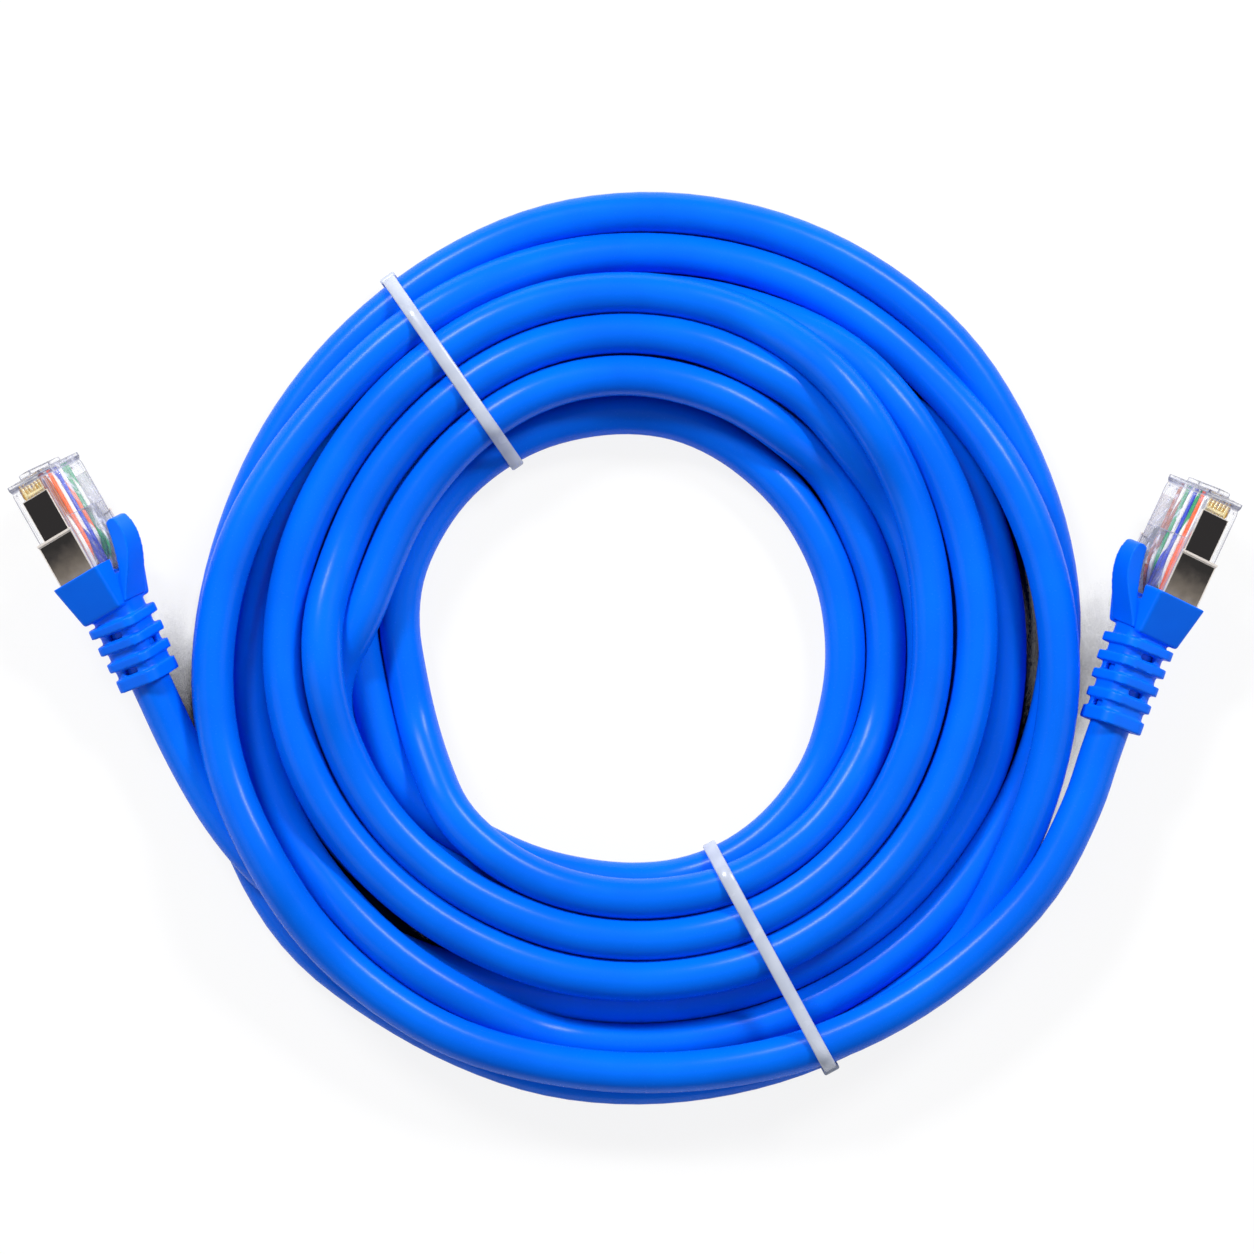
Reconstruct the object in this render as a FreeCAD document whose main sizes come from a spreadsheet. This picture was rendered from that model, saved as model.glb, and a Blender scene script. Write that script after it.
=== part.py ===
import FreeCAD, Part
import math
import os
import Sketcher

# Shielded ethernet patch cable: a round blue cord in a flat two-layer coil, held by two
# straps, with a plug and a ribbed boot on each end. Millimetres, +Z up. The origin is the
# middle of the footprint, on the surface that the coil lies on. +Y points away from the
# cord's crossing, +X from end a to end b.

# Driving sizes: name, millimetres or degrees, what it is
SIZES = [
    ("cord_diameter", 6.0, "outer diameter of the jacket"),
    ("turn_gap", 0.55, "free space between two turns of the coil, beside or above each other"),
    ("coil_centre_x", 3.1, "middle of the coil, across"),
    ("coil_centre_y", 1.6, "middle of the coil, along"),
    ("coil_inner_radius", 34.72, "smallest radius of the cord's centre line, where the spiral reverses"),
    ("lower_turns", 4.03, "turns of the lower layer, from its start to the climb"),
    ("upper_turns", 4.587, "turns of the upper layer, from the climb to its end"),
    ("coil_start_angle", 258.0, "where end a's tail joins the lower layer"),
    ("climb_turns", 0.5, "from the lower layer up to the upper one"),
    ("tail_lead", 5.5, "straight run of the cord behind each strain relief"),
    ("tail_a_run", 12.0, "end a: straight run of the cord before the coil"),
    ("tail_b_run", 8.0, "end b: straight run of the cord before the coil"),
    ("overshoot", 1.0, "how far a cutting tool runs past the piece"),
    ("plug_width", 11.68, "housing, across the eight contacts"),
    ("plug_height", 6.5, "housing, contact face to latch face"),
    ("plug_reach", 16.4, "housing, in front of the boot"),
    ("plug_seat", 1.4, "housing, inside the boot"),
    ("nose_length", 0.8, "raised block on the housing's front face"),
    ("nose_width", 8.7, "raised block, across"),
    ("nose_height", 2.2, "raised block, along the height"),
    ("nose_floor", 1.9, "raised block, above the contact face"),
    ("housing_edge", 0.35, "rounding of the housing's long edges"),
    ("cavity_wall", 1.2, "housing wall beside the wire cavity"),
    ("cavity_floor", 0.45, "housing wall under the wire cavity"),
    ("cavity_roof", 0.75, "housing wall between the cavity and the latch face"),
    ("cavity_depth", 8.7, "front end of the wire cavity, from the boot's front edge"),
    ("contact_pitch", 1.016, "between two contacts"),
    ("contact_thickness", 0.3, "blade of a contact"),
    ("contact_length", 2.4, "blade of a contact, along the plug"),
    ("contact_setback", 1.3, "from the housing's nose to the front of the blades"),
    ("contact_sink", 0.35, "top of the blades below the contact face"),
    ("contact_clearance", 0.03, "each side of a blade in its slot"),
    ("wire_diameter", 0.85, "insulation of one wire"),
    ("core_diameter", 0.5, "copper of one wire"),
    ("wire_row_height", 4.9, "wire centres above the contact face, in the row"),
    ("wire_fan", 2.8, "where the wires turn out of their row, from the boot's front edge"),
    ("wire_lead", 2.6, "straight run of the wires through the foil, in front of the jacket"),
    ("wire_spot_near", 0.92, "nearer wire of the two side pairs, from the cord's axis"),
    ("wire_spot_far", 1.84, "farther wire of the two side pairs, from the cord's axis"),
    ("wire_spot_beside", 0.45, "wires of the other two pairs, from the cord's axis, across"),
    ("wire_spot_above", 1.38, "the same, along the height"),
    ("wire_clearance", 0.03, "round a wire in the load bar"),
    ("bar_length", 3.2, "load bar, along the plug"),
    ("bar_front_gap", 0.1, "load bar to the front end of the cavity"),
    ("bar_clearance", 0.1, "load bar to the cavity's walls"),
    ("bar_height", 2.0, "load bar, along the height"),
    ("sheet_thickness", 0.25, "metal of the shield"),
    ("shield_proud", 0.15, "how far the shield's rear part stands out of the housing"),
    ("shield_step", 6.9, "front end of the shield's rear part, from the boot's front edge"),
    ("shield_front", 13.4, "front end of the shield's side plates, from the boot's front edge"),
    ("shield_plate_floor", 1.2, "lower edge of the front plates, above the contact face"),
    ("shield_lip", 0.35, "length of the raised lip at the step"),
    ("shield_lip_rise", 0.2, "how far the lip stands out of the rear part"),
    ("shield_clearance", 0.04, "shield to housing"),
    ("latch_root", 15.7, "hinge line of the latch, from the boot's front edge"),
    ("latch_root_length", 0.6, "latch's root, in front of its hinge line"),
    ("latch_root_thickness", 0.56, "front end of the latch's root"),
    ("latch_end", 2.6, "free end of the latch, from the boot's front edge"),
    ("latch_thickness", 0.8, "arm of the latch"),
    ("latch_root_gap", 0.1, "under the latch at its hinge line"),
    ("latch_end_gap", 1.45, "under the latch at its free end"),
    ("latch_wide", 6.2, "latch, across its front part"),
    ("latch_narrow", 3.2, "latch, across its tab"),
    ("latch_shoulder", 8.2, "where the latch steps to its tab, from the boot's front edge"),
    ("boot_length", 6.9, "boot's sleeve, along the plug"),
    ("boot_wall", 0.8, "sleeve wall at the plug's sides, at the front edge"),
    ("boot_wall_contact", 0.92, "sleeve wall at the contact face"),
    ("boot_wall_latch", 1.07, "sleeve wall at the latch face, at the front edge"),
    ("boot_rear_width", 8.9, "sleeve, across its rear end"),
    ("boot_rear_top", 6.3, "sleeve's rear end, above the contact face"),
    ("boot_clearance", 0.08, "plug in the sleeve"),
    ("boot_edge", 0.5, "rounding of the sleeve's edges"),
    ("cord_height", 3.0, "cord's centre above the contact face, where it enters the boot"),
    ("jacket_end", 4.85, "end face of the jacket, behind the boot's front edge"),
    ("cord_clearance", 0.05, "round the jacket in the boot"),
    ("bore_front", 4.0, "bore in the boot for the cord and its wires, in front of the jacket's end"),
    ("relief_front", 1.0, "strain relief's front end inside the sleeve, behind the jacket's end"),
    ("core_width", 7.5, "strain relief between its rings, across"),
    ("core_height", 7.1, "strain relief between its rings, along the height"),
    ("core_round", 2.4, "rounding of the strain relief between its rings"),
    ("ring_first_width", 9.1, "first ring, across"),
    ("ring_last_width", 8.1, "last ring, across"),
    ("ring_first_height", 8.4, "first ring, along the height"),
    ("ring_last_height", 7.6, "last ring, along the height"),
    ("ring_round", 1.8, "rounding of the rings"),
    ("ring_thickness", 1.4, "each ring, along the cord"),
    ("ring_last_thickness", 1.9, "the last ring, along the cord"),
    ("ring_pitch", 2.8, "from ring to ring"),
    ("ring_start", 3.2, "front of the first ring, behind the jacket's end"),
    ("slot_length", 0.9, "window through the strain relief between two rings, along the cord"),
    ("slot_width", 2.4, "window through the strain relief between two rings, across"),
    ("guard_reach", 5.1, "tip of the guard, in front of the boot's front edge"),
    ("guard_rear", 6.5, "rear end of the guard, behind the boot's front edge"),
    ("guard_edge", 0.3, "guard's thickness at its rear end"),
    ("guard_crotch", 2.2, "bottom of the notch under the guard, behind the boot's front edge"),
    ("guard_axis", 5.6, "hinge line of the guard, behind the boot's front edge"),
    ("guard_gap", 0.12, "guard above the sleeve at its hinge line"),
    ("guard_tip_half", 1.6, "half the guard's width at its tip"),
    ("guard_mid_half", 2.15, "half the guard's width at the boot's front edge"),
    ("guard_root_half", 3.2, "half the guard's width at its rear end"),
    ("guard_rise", 5.0, "highest point of the guard above the latch face"),
    ("guard_tip_thickness", 2.1, "guard, near its tip"),
    ("guard_tip_round", 0.35, "rounding of the guard's tip, along the plug"),
    ("guard_tip_drop", 0.35, "top of the guard's tip below its highest point"),
    ("guard_latch_gap", 0.34, "guard above the latch's free end"),
    ("guard_side_gap", 0.35, "guard to the sides of its notch"),
    ("guard_press", 9.0, "how far the guard turns"),
    ("foil_thickness", 0.1, "foil round the wires"),
    ("foil_length", 1.4, "foil in front of the jacket"),
    ("foil_bore", 4.62, "inside of the foil"),
    ("drain_diameter", 0.3, "bare drain wire"),
    ("drain_offset", 1.35, "drain wire from the cord's axis, across and towards the contact face"),
    ("drain_lead", 0.4, "drain wire's straight run in front of the foil"),
    ("drain_bend", 0.2, "where the drain wire comes down to the shield, from the boot's front edge"),
    ("drain_end", 1.8, "free end of the drain wire, from the boot's front edge"),
    ("drain_window_rear", 1.0, "window in the housing's floor, behind the boot's front edge"),
    ("drain_window_front", 2.4, "the same window, in front of the boot's front edge"),
    ("drain_window_width", 0.8, "the same window, across"),
    ("roll", 59.4, "plugs lie on edge, turned about their own axis"),
    ("plug_a_bearing", 173.98, "end a: contact face at the boot's front edge, from the coil's middle"),
    ("plug_a_beyond", 21.93, "the same point, outside the coil's end"),
    ("plug_a_yaw", 29.5, "end a: plug's axis, left of +Y"),
    ("relief_a_yaw", 24.0, "end a: strain relief's axis, left of +Y"),
    ("relief_a_dip", 6.0, "end a: strain relief runs down towards the cord"),
    ("rings_a", 4, "rings on end a"),
    ("plug_b_bearing", 4.1, "end b: contact face's middle at the boot's front edge, from the coil's middle"),
    ("plug_b_beyond", 12.11, "the same point, outside the coil's end"),
    ("plug_b_yaw", -25.0, "end b: plug's axis, left of +Y"),
    ("relief_b_yaw", -19.4, "end b: strain relief's axis, left of +Y"),
    ("relief_b_dip", -3.0, "end b: strain relief runs down towards the cord"),
    ("rings_b", 5, "rings on end b"),
    ("plug_rest_height", 6.5, "contact face's middle above the surface"),
    ("strap_width", 2.0, "cable tie's strap"),
    ("strap_thickness", 0.6, "cable tie's strap"),
    ("strap_clearance", 0.12, "strap to the cord"),
    ("head_length", 3.4, "cable tie's head, along the strap"),
    ("head_width", 3.4, "cable tie's head, across the strap"),
    ("head_height", 2.5, "cable tie's head, outwards from the cord"),
    ("head_round", 0.4, "rounding of the head"),
    ("head_floor", 0.1, "cable tie's head above the surface"),
    ("tie_top_x", -25.9, "middle of the top tie's line, across"),
    ("tie_top_y", 40.8, "the same, along"),
    ("tie_top_angle", 124.7, "direction of the top tie's line, inside to outside"),
    ("tie_bottom_x", 21.1, "middle of the bottom tie's line, across"),
    ("tie_bottom_y", -45.75, "the same, along"),
    ("tie_bottom_angle", -61.5, "direction of the bottom tie's line, inside to outside"),
]

# Wires from contact 1 to contact 8 at each end
COLOURS_A = ["white_green", "green", "white_orange", "blue", "white_blue", "orange", "white_brown", "brown"]
COLOURS_B = ["white_orange", "orange", "white_green", "blue", "white_blue", "green", "white_brown", "brown"]

V = FreeCAD.Vector
UP = V(0, 0, 1)

doc = FreeCAD.newDocument("patch_cable")
sheet = doc.addObject("Spreadsheet::Sheet", "sizes")
for row, (alias, value, meaning) in enumerate(SIZES, start=1):
    sheet.set(f"A{row}", alias)
    sheet.set(f"B{row}", str(value))
    sheet.set(f"C{row}", meaning)
    sheet.setAlias(f"B{row}", alias)
doc.recompute()


def size(alias):
    """One driving size, read from the sheet."""
    return float(sheet.get(alias))


def bind(thing, prop, formula):
    """Binds a property to a formula whose {names} are cells of the sheet."""
    thing.setExpression(prop, formula.replace("{", "sizes.").replace("}", ""))


def box(name, low, high):
    """A box between two corners, each given as three formulas."""
    block = doc.addObject("Part::Box", name)
    for prop, axis, lo, hi in zip(("Length", "Width", "Height"), "xyz", low, high):
        bind(block, f"Placement.Base.{axis}", lo)
        bind(block, prop, f"({hi}) - ({lo})")
    return block


def cut(name, base, *tools):
    """Takes tools away from base."""
    result = doc.addObject("Part::Cut", name)
    result.Base = base
    result.Tool = tools[0] if len(tools) == 1 else join(name + "_tools", *tools)
    return result


def join(name, *pieces):
    """Joins pieces into one solid, or into a group where they are apart."""
    result = doc.addObject("Part::MultiFuse", name)
    result.Shapes = list(pieces)
    return result


def solid_from(name, shape):
    """An object that holds a shape computed from the sheet's values."""
    thing = doc.addObject("Part::Feature", name)
    thing.Shape = shape
    return thing


def origin_plane(body, role):
    """One of the body's own origin planes."""
    return [f for f in body.Origin.OriginFeatures if f.Role == role][0]


def outline(body, name, role, corners):
    """A closed sketch of straight lines whose corners are formulas on the sheet."""
    sketch = body.newObject("Sketcher::SketchObject", name)
    sketch.AttachmentSupport = [(origin_plane(body, role), "")]
    sketch.MapMode = "FlatFace"
    count = len(corners)
    places = [V(worked_out(x), worked_out(y), 0) for x, y in corners]
    for i in range(count):
        sketch.addGeometry(Part.LineSegment(places[i], places[(i + 1) % count]), False)
    for i in range(count):
        sketch.addConstraint(Sketcher.Constraint("Coincident", i, 2, (i + 1) % count, 1))
    for i, (x, y) in enumerate(corners):
        for kind, formula, value in (("DistanceX", x, places[i].x), ("DistanceY", y, places[i].y)):
            number = sketch.addConstraint(Sketcher.Constraint(kind, i, 1, value))
            bind(sketch, f"Constraints[{number}]", formula)
    return sketch


def worked_out(formula):
    """The value of a formula on the sheet."""
    probe = doc.getObject("formula_value")
    if probe is None:
        probe = doc.addObject("App::FeaturePython", "formula_value")
        probe.addProperty("App::PropertyFloat", "Value")
    bind(probe, "Value", formula)
    probe.recompute()
    return probe.Value


def edges_where(shape, test):
    """Names of the edges that pass a test."""
    return [f"Edge{i}" for i, edge in enumerate(shape.Edges, start=1) if test(edge)]


def runs_along(edge, axis):
    """Whether an edge is straight and parallel to an axis."""
    if edge.Curve.TypeId != "Part::GeomLine":
        return False
    return abs(abs(edge.tangentAt(edge.FirstParameter).dot(axis)) - 1) < 1e-6


def smooth_path(points, share=0.45):
    """A wire of straight runs joined by tangent arcs, and the arcs' radii."""
    edges = []
    radii = []
    last = points[0]
    for before, corner, after in zip(points, points[1:], points[2:]):
        back = (before - corner).normalize()
        ahead = (after - corner).normalize()
        half_turn = (math.pi - back.getAngle(ahead)) / 2
        setback = share * min((corner - before).Length, (after - corner).Length)
        radius = setback / math.tan(half_turn)
        start = corner + back * setback
        end = corner + ahead * setback
        inward = (back + ahead).normalize()
        middle = corner + inward * (radius / math.cos(half_turn) - radius)
        edges.append(Part.LineSegment(last, start).toShape())
        edges.append(Part.Arc(start, middle, end).toShape())
        radii.append(radius)
        last = end
    edges.append(Part.LineSegment(last, points[-1]).toShape())
    return Part.Wire(edges), radii


def tube(path, diameter):
    """A round solid along a wire."""
    first = path.OrderedEdges[0]
    start = first.valueAt(first.FirstParameter)
    direction = first.tangentAt(first.FirstParameter)
    ring = Part.Wire([Part.Circle(start, direction, diameter / 2).toShape()])
    return path.makePipeShell([ring], True, False)


def report_tube(name, shape, path, diameter):
    """Prints how a tube's volume compares with its section times its length."""
    expected = math.pi * diameter**2 / 4 * path.Length
    print(f"{name}: length {path.Length:.1f}, volume / (section x length) {shape.Volume / expected:.5f}")


# Placements of the two ends
def turn_pitch():
    """From one turn of the coil to the next."""
    return size("cord_diameter") + size("turn_gap")


def coil_radius(turns_out):
    """Radius of the cord's centre line, a number of turns away from the climb."""
    return size("coil_inner_radius") + turn_pitch() * (size("climb_turns") / 4 + turns_out)


def around_coil(end, bearing, beyond, height):
    """A point by its bearing from the coil's middle, and by how far it lies outside the coil's end."""
    reach = coil_radius(size("lower_turns" if end == "a" else "upper_turns")) + beyond
    turn = math.radians(bearing)
    middle = V(size("coil_centre_x"), size("coil_centre_y"), height)
    return middle + V(math.cos(turn), math.sin(turn), 0) * reach


def plug_placement(end):
    """From the plug's own frame to the part's: x across, y to the tip, z to the latch face."""
    side = 1 if end == "a" else -1
    turn = FreeCAD.Rotation(UP, size(f"plug_{end}_yaw")) * FreeCAD.Rotation(V(0, 1, 0), side * size("roll"))
    bearing, beyond = size(f"plug_{end}_bearing"), size(f"plug_{end}_beyond")
    return FreeCAD.Placement(around_coil(end, bearing, beyond, size("plug_rest_height")), turn)


def relief_placement(end):
    """From the strain relief's frame to the part's: origin at the jacket's end, -y along the cord."""
    side = 1 if end == "a" else -1
    base = plug_placement(end).multVec(V(0, -size("jacket_end"), size("cord_height")))
    dip = FreeCAD.Rotation(V(1, 0, 0), size(f"relief_{end}_dip"))
    turn = FreeCAD.Rotation(UP, size(f"relief_{end}_yaw")) * dip
    return FreeCAD.Placement(base, turn * FreeCAD.Rotation(V(0, 1, 0), side * size("roll")))


def relief_length(end):
    """From the jacket's end to the rear face of the last ring."""
    rings = size(f"rings_{end}")
    return size("ring_start") + (rings - 1) * size("ring_pitch") + size("ring_thickness")


def contact_x(number):
    """Across the plug, contact 1 to 8; contact 1 is at +x."""
    return (4.5 - number) * size("contact_pitch")


# Clear housing
def housing(end):
    """The polycarbonate body, with its wire cavity, contact slots and recesses for the shield."""
    body = doc.addObject("PartDesign::Body", f"housing_block_{end}")
    half = "{plug_width}/2"
    section = outline(body, f"housing_section_{end}", "XZ_Plane", [
        (f"-{half}", "0"), (half, "0"), (half, "{plug_height}"), (f"-{half}", "{plug_height}"),
    ])
    block = body.newObject("PartDesign::Pad", f"housing_length_{end}")
    block.Profile = section
    block.Reversed = True
    bind(block, "Length", "{plug_reach} + {plug_seat}")
    bind(section, "AttachmentOffset.Base.z", "{plug_seat}")
    doc.recompute()
    rounded = body.newObject("PartDesign::Fillet", f"housing_edges_{end}")
    rounded.Base = (block, edges_where(block.Shape, lambda e: runs_along(e, V(0, 1, 0))))
    bind(rounded, "Radius", "{housing_edge}")
    body.Tip = rounded
    nose = box(
        f"housing_nose_{end}",
        ("-{nose_width}/2", "{plug_reach} - {nose_length}", "{nose_floor}"),
        ("{nose_width}/2", "{plug_reach} + {nose_length}", "{nose_floor} + {nose_height}"),
    )
    cavity = box(
        f"wire_cavity_{end}",
        (f"-{half} + {{cavity_wall}}", "-{plug_seat} - {overshoot}", "{cavity_floor}"),
        (f"{half} - {{cavity_wall}}", "{cavity_depth}", "{plug_height} - {cavity_roof}"),
    )
    row_half = "(3.5*{contact_pitch} + {wire_diameter}/2 + {bar_clearance})"
    row_reach = "{plug_reach} + {nose_length} - {contact_setback} + {contact_clearance}"
    row = box(
        f"wire_row_{end}",
        (f"-{row_half}", "{cavity_depth} - {overshoot}",
         "{wire_row_height} - {wire_diameter}/2 - {bar_clearance}"),
        (row_half, row_reach, "{wire_row_height} + {wire_diameter}/2 + {bar_clearance}"),
    )
    tools = [cavity, row]
    for number in range(1, 9):
        middle = f"({4.5 - number}*{{contact_pitch}})"
        slot_half = "({contact_thickness}/2 + {contact_clearance})"
        tools.append(box(
            f"contact_slot_{end}_{number}",
            (f"{middle} - {slot_half}", f"{row_reach} - {{contact_length}} - 2*{{contact_clearance}}",
             "-{overshoot}"),
            (f"{middle} + {slot_half}", row_reach, "{wire_row_height}"),
        ))
    depth = "({sheet_thickness} + {shield_clearance})"
    rear_depth = "({sheet_thickness} + {shield_clearance} - {shield_proud})"
    for side, sign in (("left", -1), ("right", 1)):
        for part, near, far, floor, deep in (
            ("front", "{shield_step} - {shield_lip} - 2*{shield_clearance}",
             "{shield_front} + {shield_clearance}", "{shield_plate_floor} - {shield_clearance}", depth),
            ("rear", "-{plug_seat} - {overshoot}", "{shield_step}", "-{overshoot}", rear_depth),
        ):
            edge = sorted((f"{sign}*({half} - {deep})", f"{sign}*({half} + {{overshoot}})"), key=worked_out)
            tools.append(box(
                f"shield_recess_{end}_{part}_{side}",
                (edge[0], near, floor),
                (edge[1], far, "{plug_height} + {overshoot}"),
            ))
    tools.append(box(
        f"shield_recess_{end}_floor",
        (f"-{half} - {{overshoot}}", "-{plug_seat} - {overshoot}", "-{overshoot}"),
        (f"{half} + {{overshoot}}", "{shield_step}", rear_depth),
    ))
    tools.append(box(
        f"drain_window_{end}",
        ("{drain_offset} - {drain_window_width}/2", "-{drain_window_rear}", "-{overshoot}"),
        ("{drain_offset} + {drain_window_width}/2", "{drain_window_front}", "{cavity_floor} + {overshoot}"),
    ))
    return cut(f"plug_{end}_housing", join(f"housing_solid_{end}", body, nose), *tools)


# Stamped shield
def shield(end):
    """Two front plates, and a rear part that wraps the sides and the contact face."""
    half = "{plug_width}/2"
    proud = "{shield_proud}"
    outer = box(
        f"shield_outer_{end}",
        (f"-{half} - {proud}", "-{plug_seat}", f"-{proud}"),
        (f"{half} + {proud}", "{shield_step} - {shield_clearance}", "{plug_height}"),
    )
    inner = box(
        f"shield_inner_{end}",
        (f"-{half} - {proud} + {{sheet_thickness}}", "-{plug_seat} - {overshoot}",
         f"{{sheet_thickness}} - {proud}"),
        (f"{half} + {proud} - {{sheet_thickness}}", "{shield_step} + {overshoot}",
         "{plug_height} + {overshoot}"),
    )
    lip = box(
        f"shield_lip_outer_{end}",
        (f"-{half} - {proud} - {{shield_lip_rise}}", "{shield_step} - {shield_clearance} - {shield_lip}",
         f"-{proud}"),
        (f"{half} + {proud} + {{shield_lip_rise}}", "{shield_step} - {shield_clearance}", "{plug_height}"),
    )
    shell = cut(f"shield_rear_{end}", join(f"shield_body_{end}", outer, lip), inner)
    plates = []
    for side, sign in (("left", -1), ("right", 1)):
        face = f"({half})"
        edge = sorted((f"{sign}*({face} - {{sheet_thickness}})", f"{sign}*{face}"), key=worked_out)
        plates.append(box(
            f"shield_plate_{end}_{side}",
            (edge[0], "{shield_step} - {shield_lip} - {shield_clearance}", "{shield_plate_floor}"),
            (edge[1], "{shield_front}", "{plug_height} - {housing_edge}"),
        ))
    return join(f"plug_{end}_shield", shell, *plates)


# Gold-plated contacts
def contacts(end):
    """Eight blades, each with two teeth that pierce the insulation down to the copper."""
    thickness = size("contact_thickness")
    front = size("plug_reach") + size("nose_length") - size("contact_setback")
    rear = front - size("contact_length")
    crown = size("contact_sink")
    gap_to_core = size("contact_clearance")
    tooth_end = size("wire_row_height") - size("core_diameter") / 2 - gap_to_core
    shoulder = size("wire_row_height") - size("wire_diameter") / 2 - gap_to_core
    tooth = size("contact_length") / 5
    profile = [
        (front, crown + tooth), (front, shoulder), (front - tooth, shoulder),
        (front - 1.5 * tooth, tooth_end), (front - 2 * tooth, shoulder), (front - 3 * tooth, shoulder),
        (front - 3.5 * tooth, tooth_end), (front - 4 * tooth, shoulder), (rear, shoulder),
        (rear, crown + tooth), (rear + tooth, crown), (front - tooth, crown),
    ]
    blades = []
    for number in range(1, 9):
        x = contact_x(number) - thickness / 2
        corners = [V(x, y, z) for y, z in profile]
        face = Part.Face(Part.makePolygon(corners + corners[:1]))
        blades.append(face.extrude(V(thickness, 0, 0)))
    return solid_from(f"plug_{end}_contacts", Part.makeCompound(blades))


# Load bar
def load_bar(end):
    """The comb that holds the eight wires in their row."""
    half = "({plug_width}/2 - {cavity_wall} - {bar_clearance})"
    front = "({cavity_depth} - {bar_front_gap})"
    top = "({plug_height} - {cavity_roof} - {bar_clearance})"
    bar = box(
        f"load_bar_block_{end}",
        (f"-{half}", f"{front} - {{bar_length}}", f"{top} - {{bar_height}}"),
        (half, front, top),
    )
    holes = []
    for number in range(1, 9):
        hole = doc.addObject("Part::Cylinder", f"wire_hole_{end}_{number}")
        bind(hole, "Radius", "{wire_diameter}/2 + {wire_clearance}")
        bind(hole, "Height", "{bar_length} + 2*{overshoot}")
        hole.Placement.Rotation = FreeCAD.Rotation(V(1, 0, 0), -90)
        bind(hole, "Placement.Base.x", f"{4.5 - number}*{{contact_pitch}}")
        bind(hole, "Placement.Base.y", f"{front} - {{bar_length}} - {{overshoot}}")
        bind(hole, "Placement.Base.z", "{wire_row_height}")
        holes.append(hole)
    return cut(f"plug_{end}_load_bar", bar, *holes)


# Wires
def wire_spot(number):
    """Where a wire leaves the jacket: pairs in a diamond, in the strain relief's frame."""
    near = size("wire_spot_near")
    far = size("wire_spot_far")
    above = size("wire_spot_above")
    beside = size("wire_spot_beside")
    return {
        1: (far, 0), 2: (near, 0), 3: (beside, -above), 4: (beside, above),
        5: (-beside, above), 6: (-beside, -above), 7: (-near, 0), 8: (-far, 0),
    }[number]


def wire_path(end, number):
    """From its contact through the load bar, then into its pair's place in the jacket."""
    to_plug = plug_placement(end).inverse() * relief_placement(end)
    x = contact_x(number)
    row = size("wire_row_height")
    front = size("plug_reach") + size("nose_length") - size("contact_setback") - size("contact_clearance")
    spot_x, spot_z = wire_spot(number)
    points = [
        V(x, front, row),
        V(x, size("wire_fan"), row),
        to_plug.multVec(V(spot_x, size("wire_lead"), spot_z)),
        to_plug.multVec(V(spot_x, 0, spot_z)),
    ]
    return smooth_path(points)[0]


def wires(end, colours):
    """Eight insulated wires with slots where the contacts pierce them, and their copper."""
    blade_room = size("contact_thickness") / 2 + size("contact_clearance")
    past = size("overshoot")
    front = size("plug_reach") + size("nose_length") - size("contact_setback") + past
    pieces = []
    cores = []
    for number, colour in enumerate(colours, start=1):
        path = wire_path(end, number)
        core = tube(path, size("core_diameter"))
        slot = Part.makeBox(
            2 * blade_room, size("contact_length") + 2 * past, size("wire_row_height"),
            V(contact_x(number) - blade_room, front - size("contact_length") - 2 * past, 0),
        )
        insulation = tube(path, size("wire_diameter")).cut(core).cut(slot)
        pieces.append(solid_from(f"plug_{end}_wire_{colour}", insulation))
        cores.append(core)
    pieces.append(solid_from(f"plug_{end}_wire_cores", Part.makeCompound(cores)))
    return pieces


# Foil and drain wire
def foil(end):
    """The foil that still wraps the pairs in front of the jacket."""
    bore = size("foil_bore") / 2
    outer = bore + size("foil_thickness")
    length = size("foil_length")
    past = size("overshoot")
    to_plug = plug_placement(end).inverse() * relief_placement(end)
    along = to_plug.Rotation.multVec(V(0, 1, 0))
    sleeve = Part.makeCylinder(outer, length, to_plug.Base, along)
    hollow = Part.makeCylinder(bore, length + 2 * past, to_plug.Base - along * past, along)
    return solid_from(f"plug_{end}_foil", sleeve.cut(hollow))


def drain_wire(end):
    """From the foil through the window in the housing's floor, down onto the shield."""
    to_plug = plug_placement(end).inverse() * relief_placement(end)
    x, z = size("drain_offset"), -size("drain_offset")
    radius = size("drain_diameter") / 2
    on_shield = size("sheet_thickness") - size("shield_proud") + radius + size("contact_clearance")
    points = [
        to_plug.multVec(V(x, 0, z)),
        to_plug.multVec(V(x, size("foil_length") + size("drain_lead"), z)),
        V(x, size("drain_bend"), on_shield),
        V(x, size("drain_end"), on_shield),
    ]
    return solid_from(f"plug_{end}_drain_wire", tube(smooth_path(points)[0], size("drain_diameter")))


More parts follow.
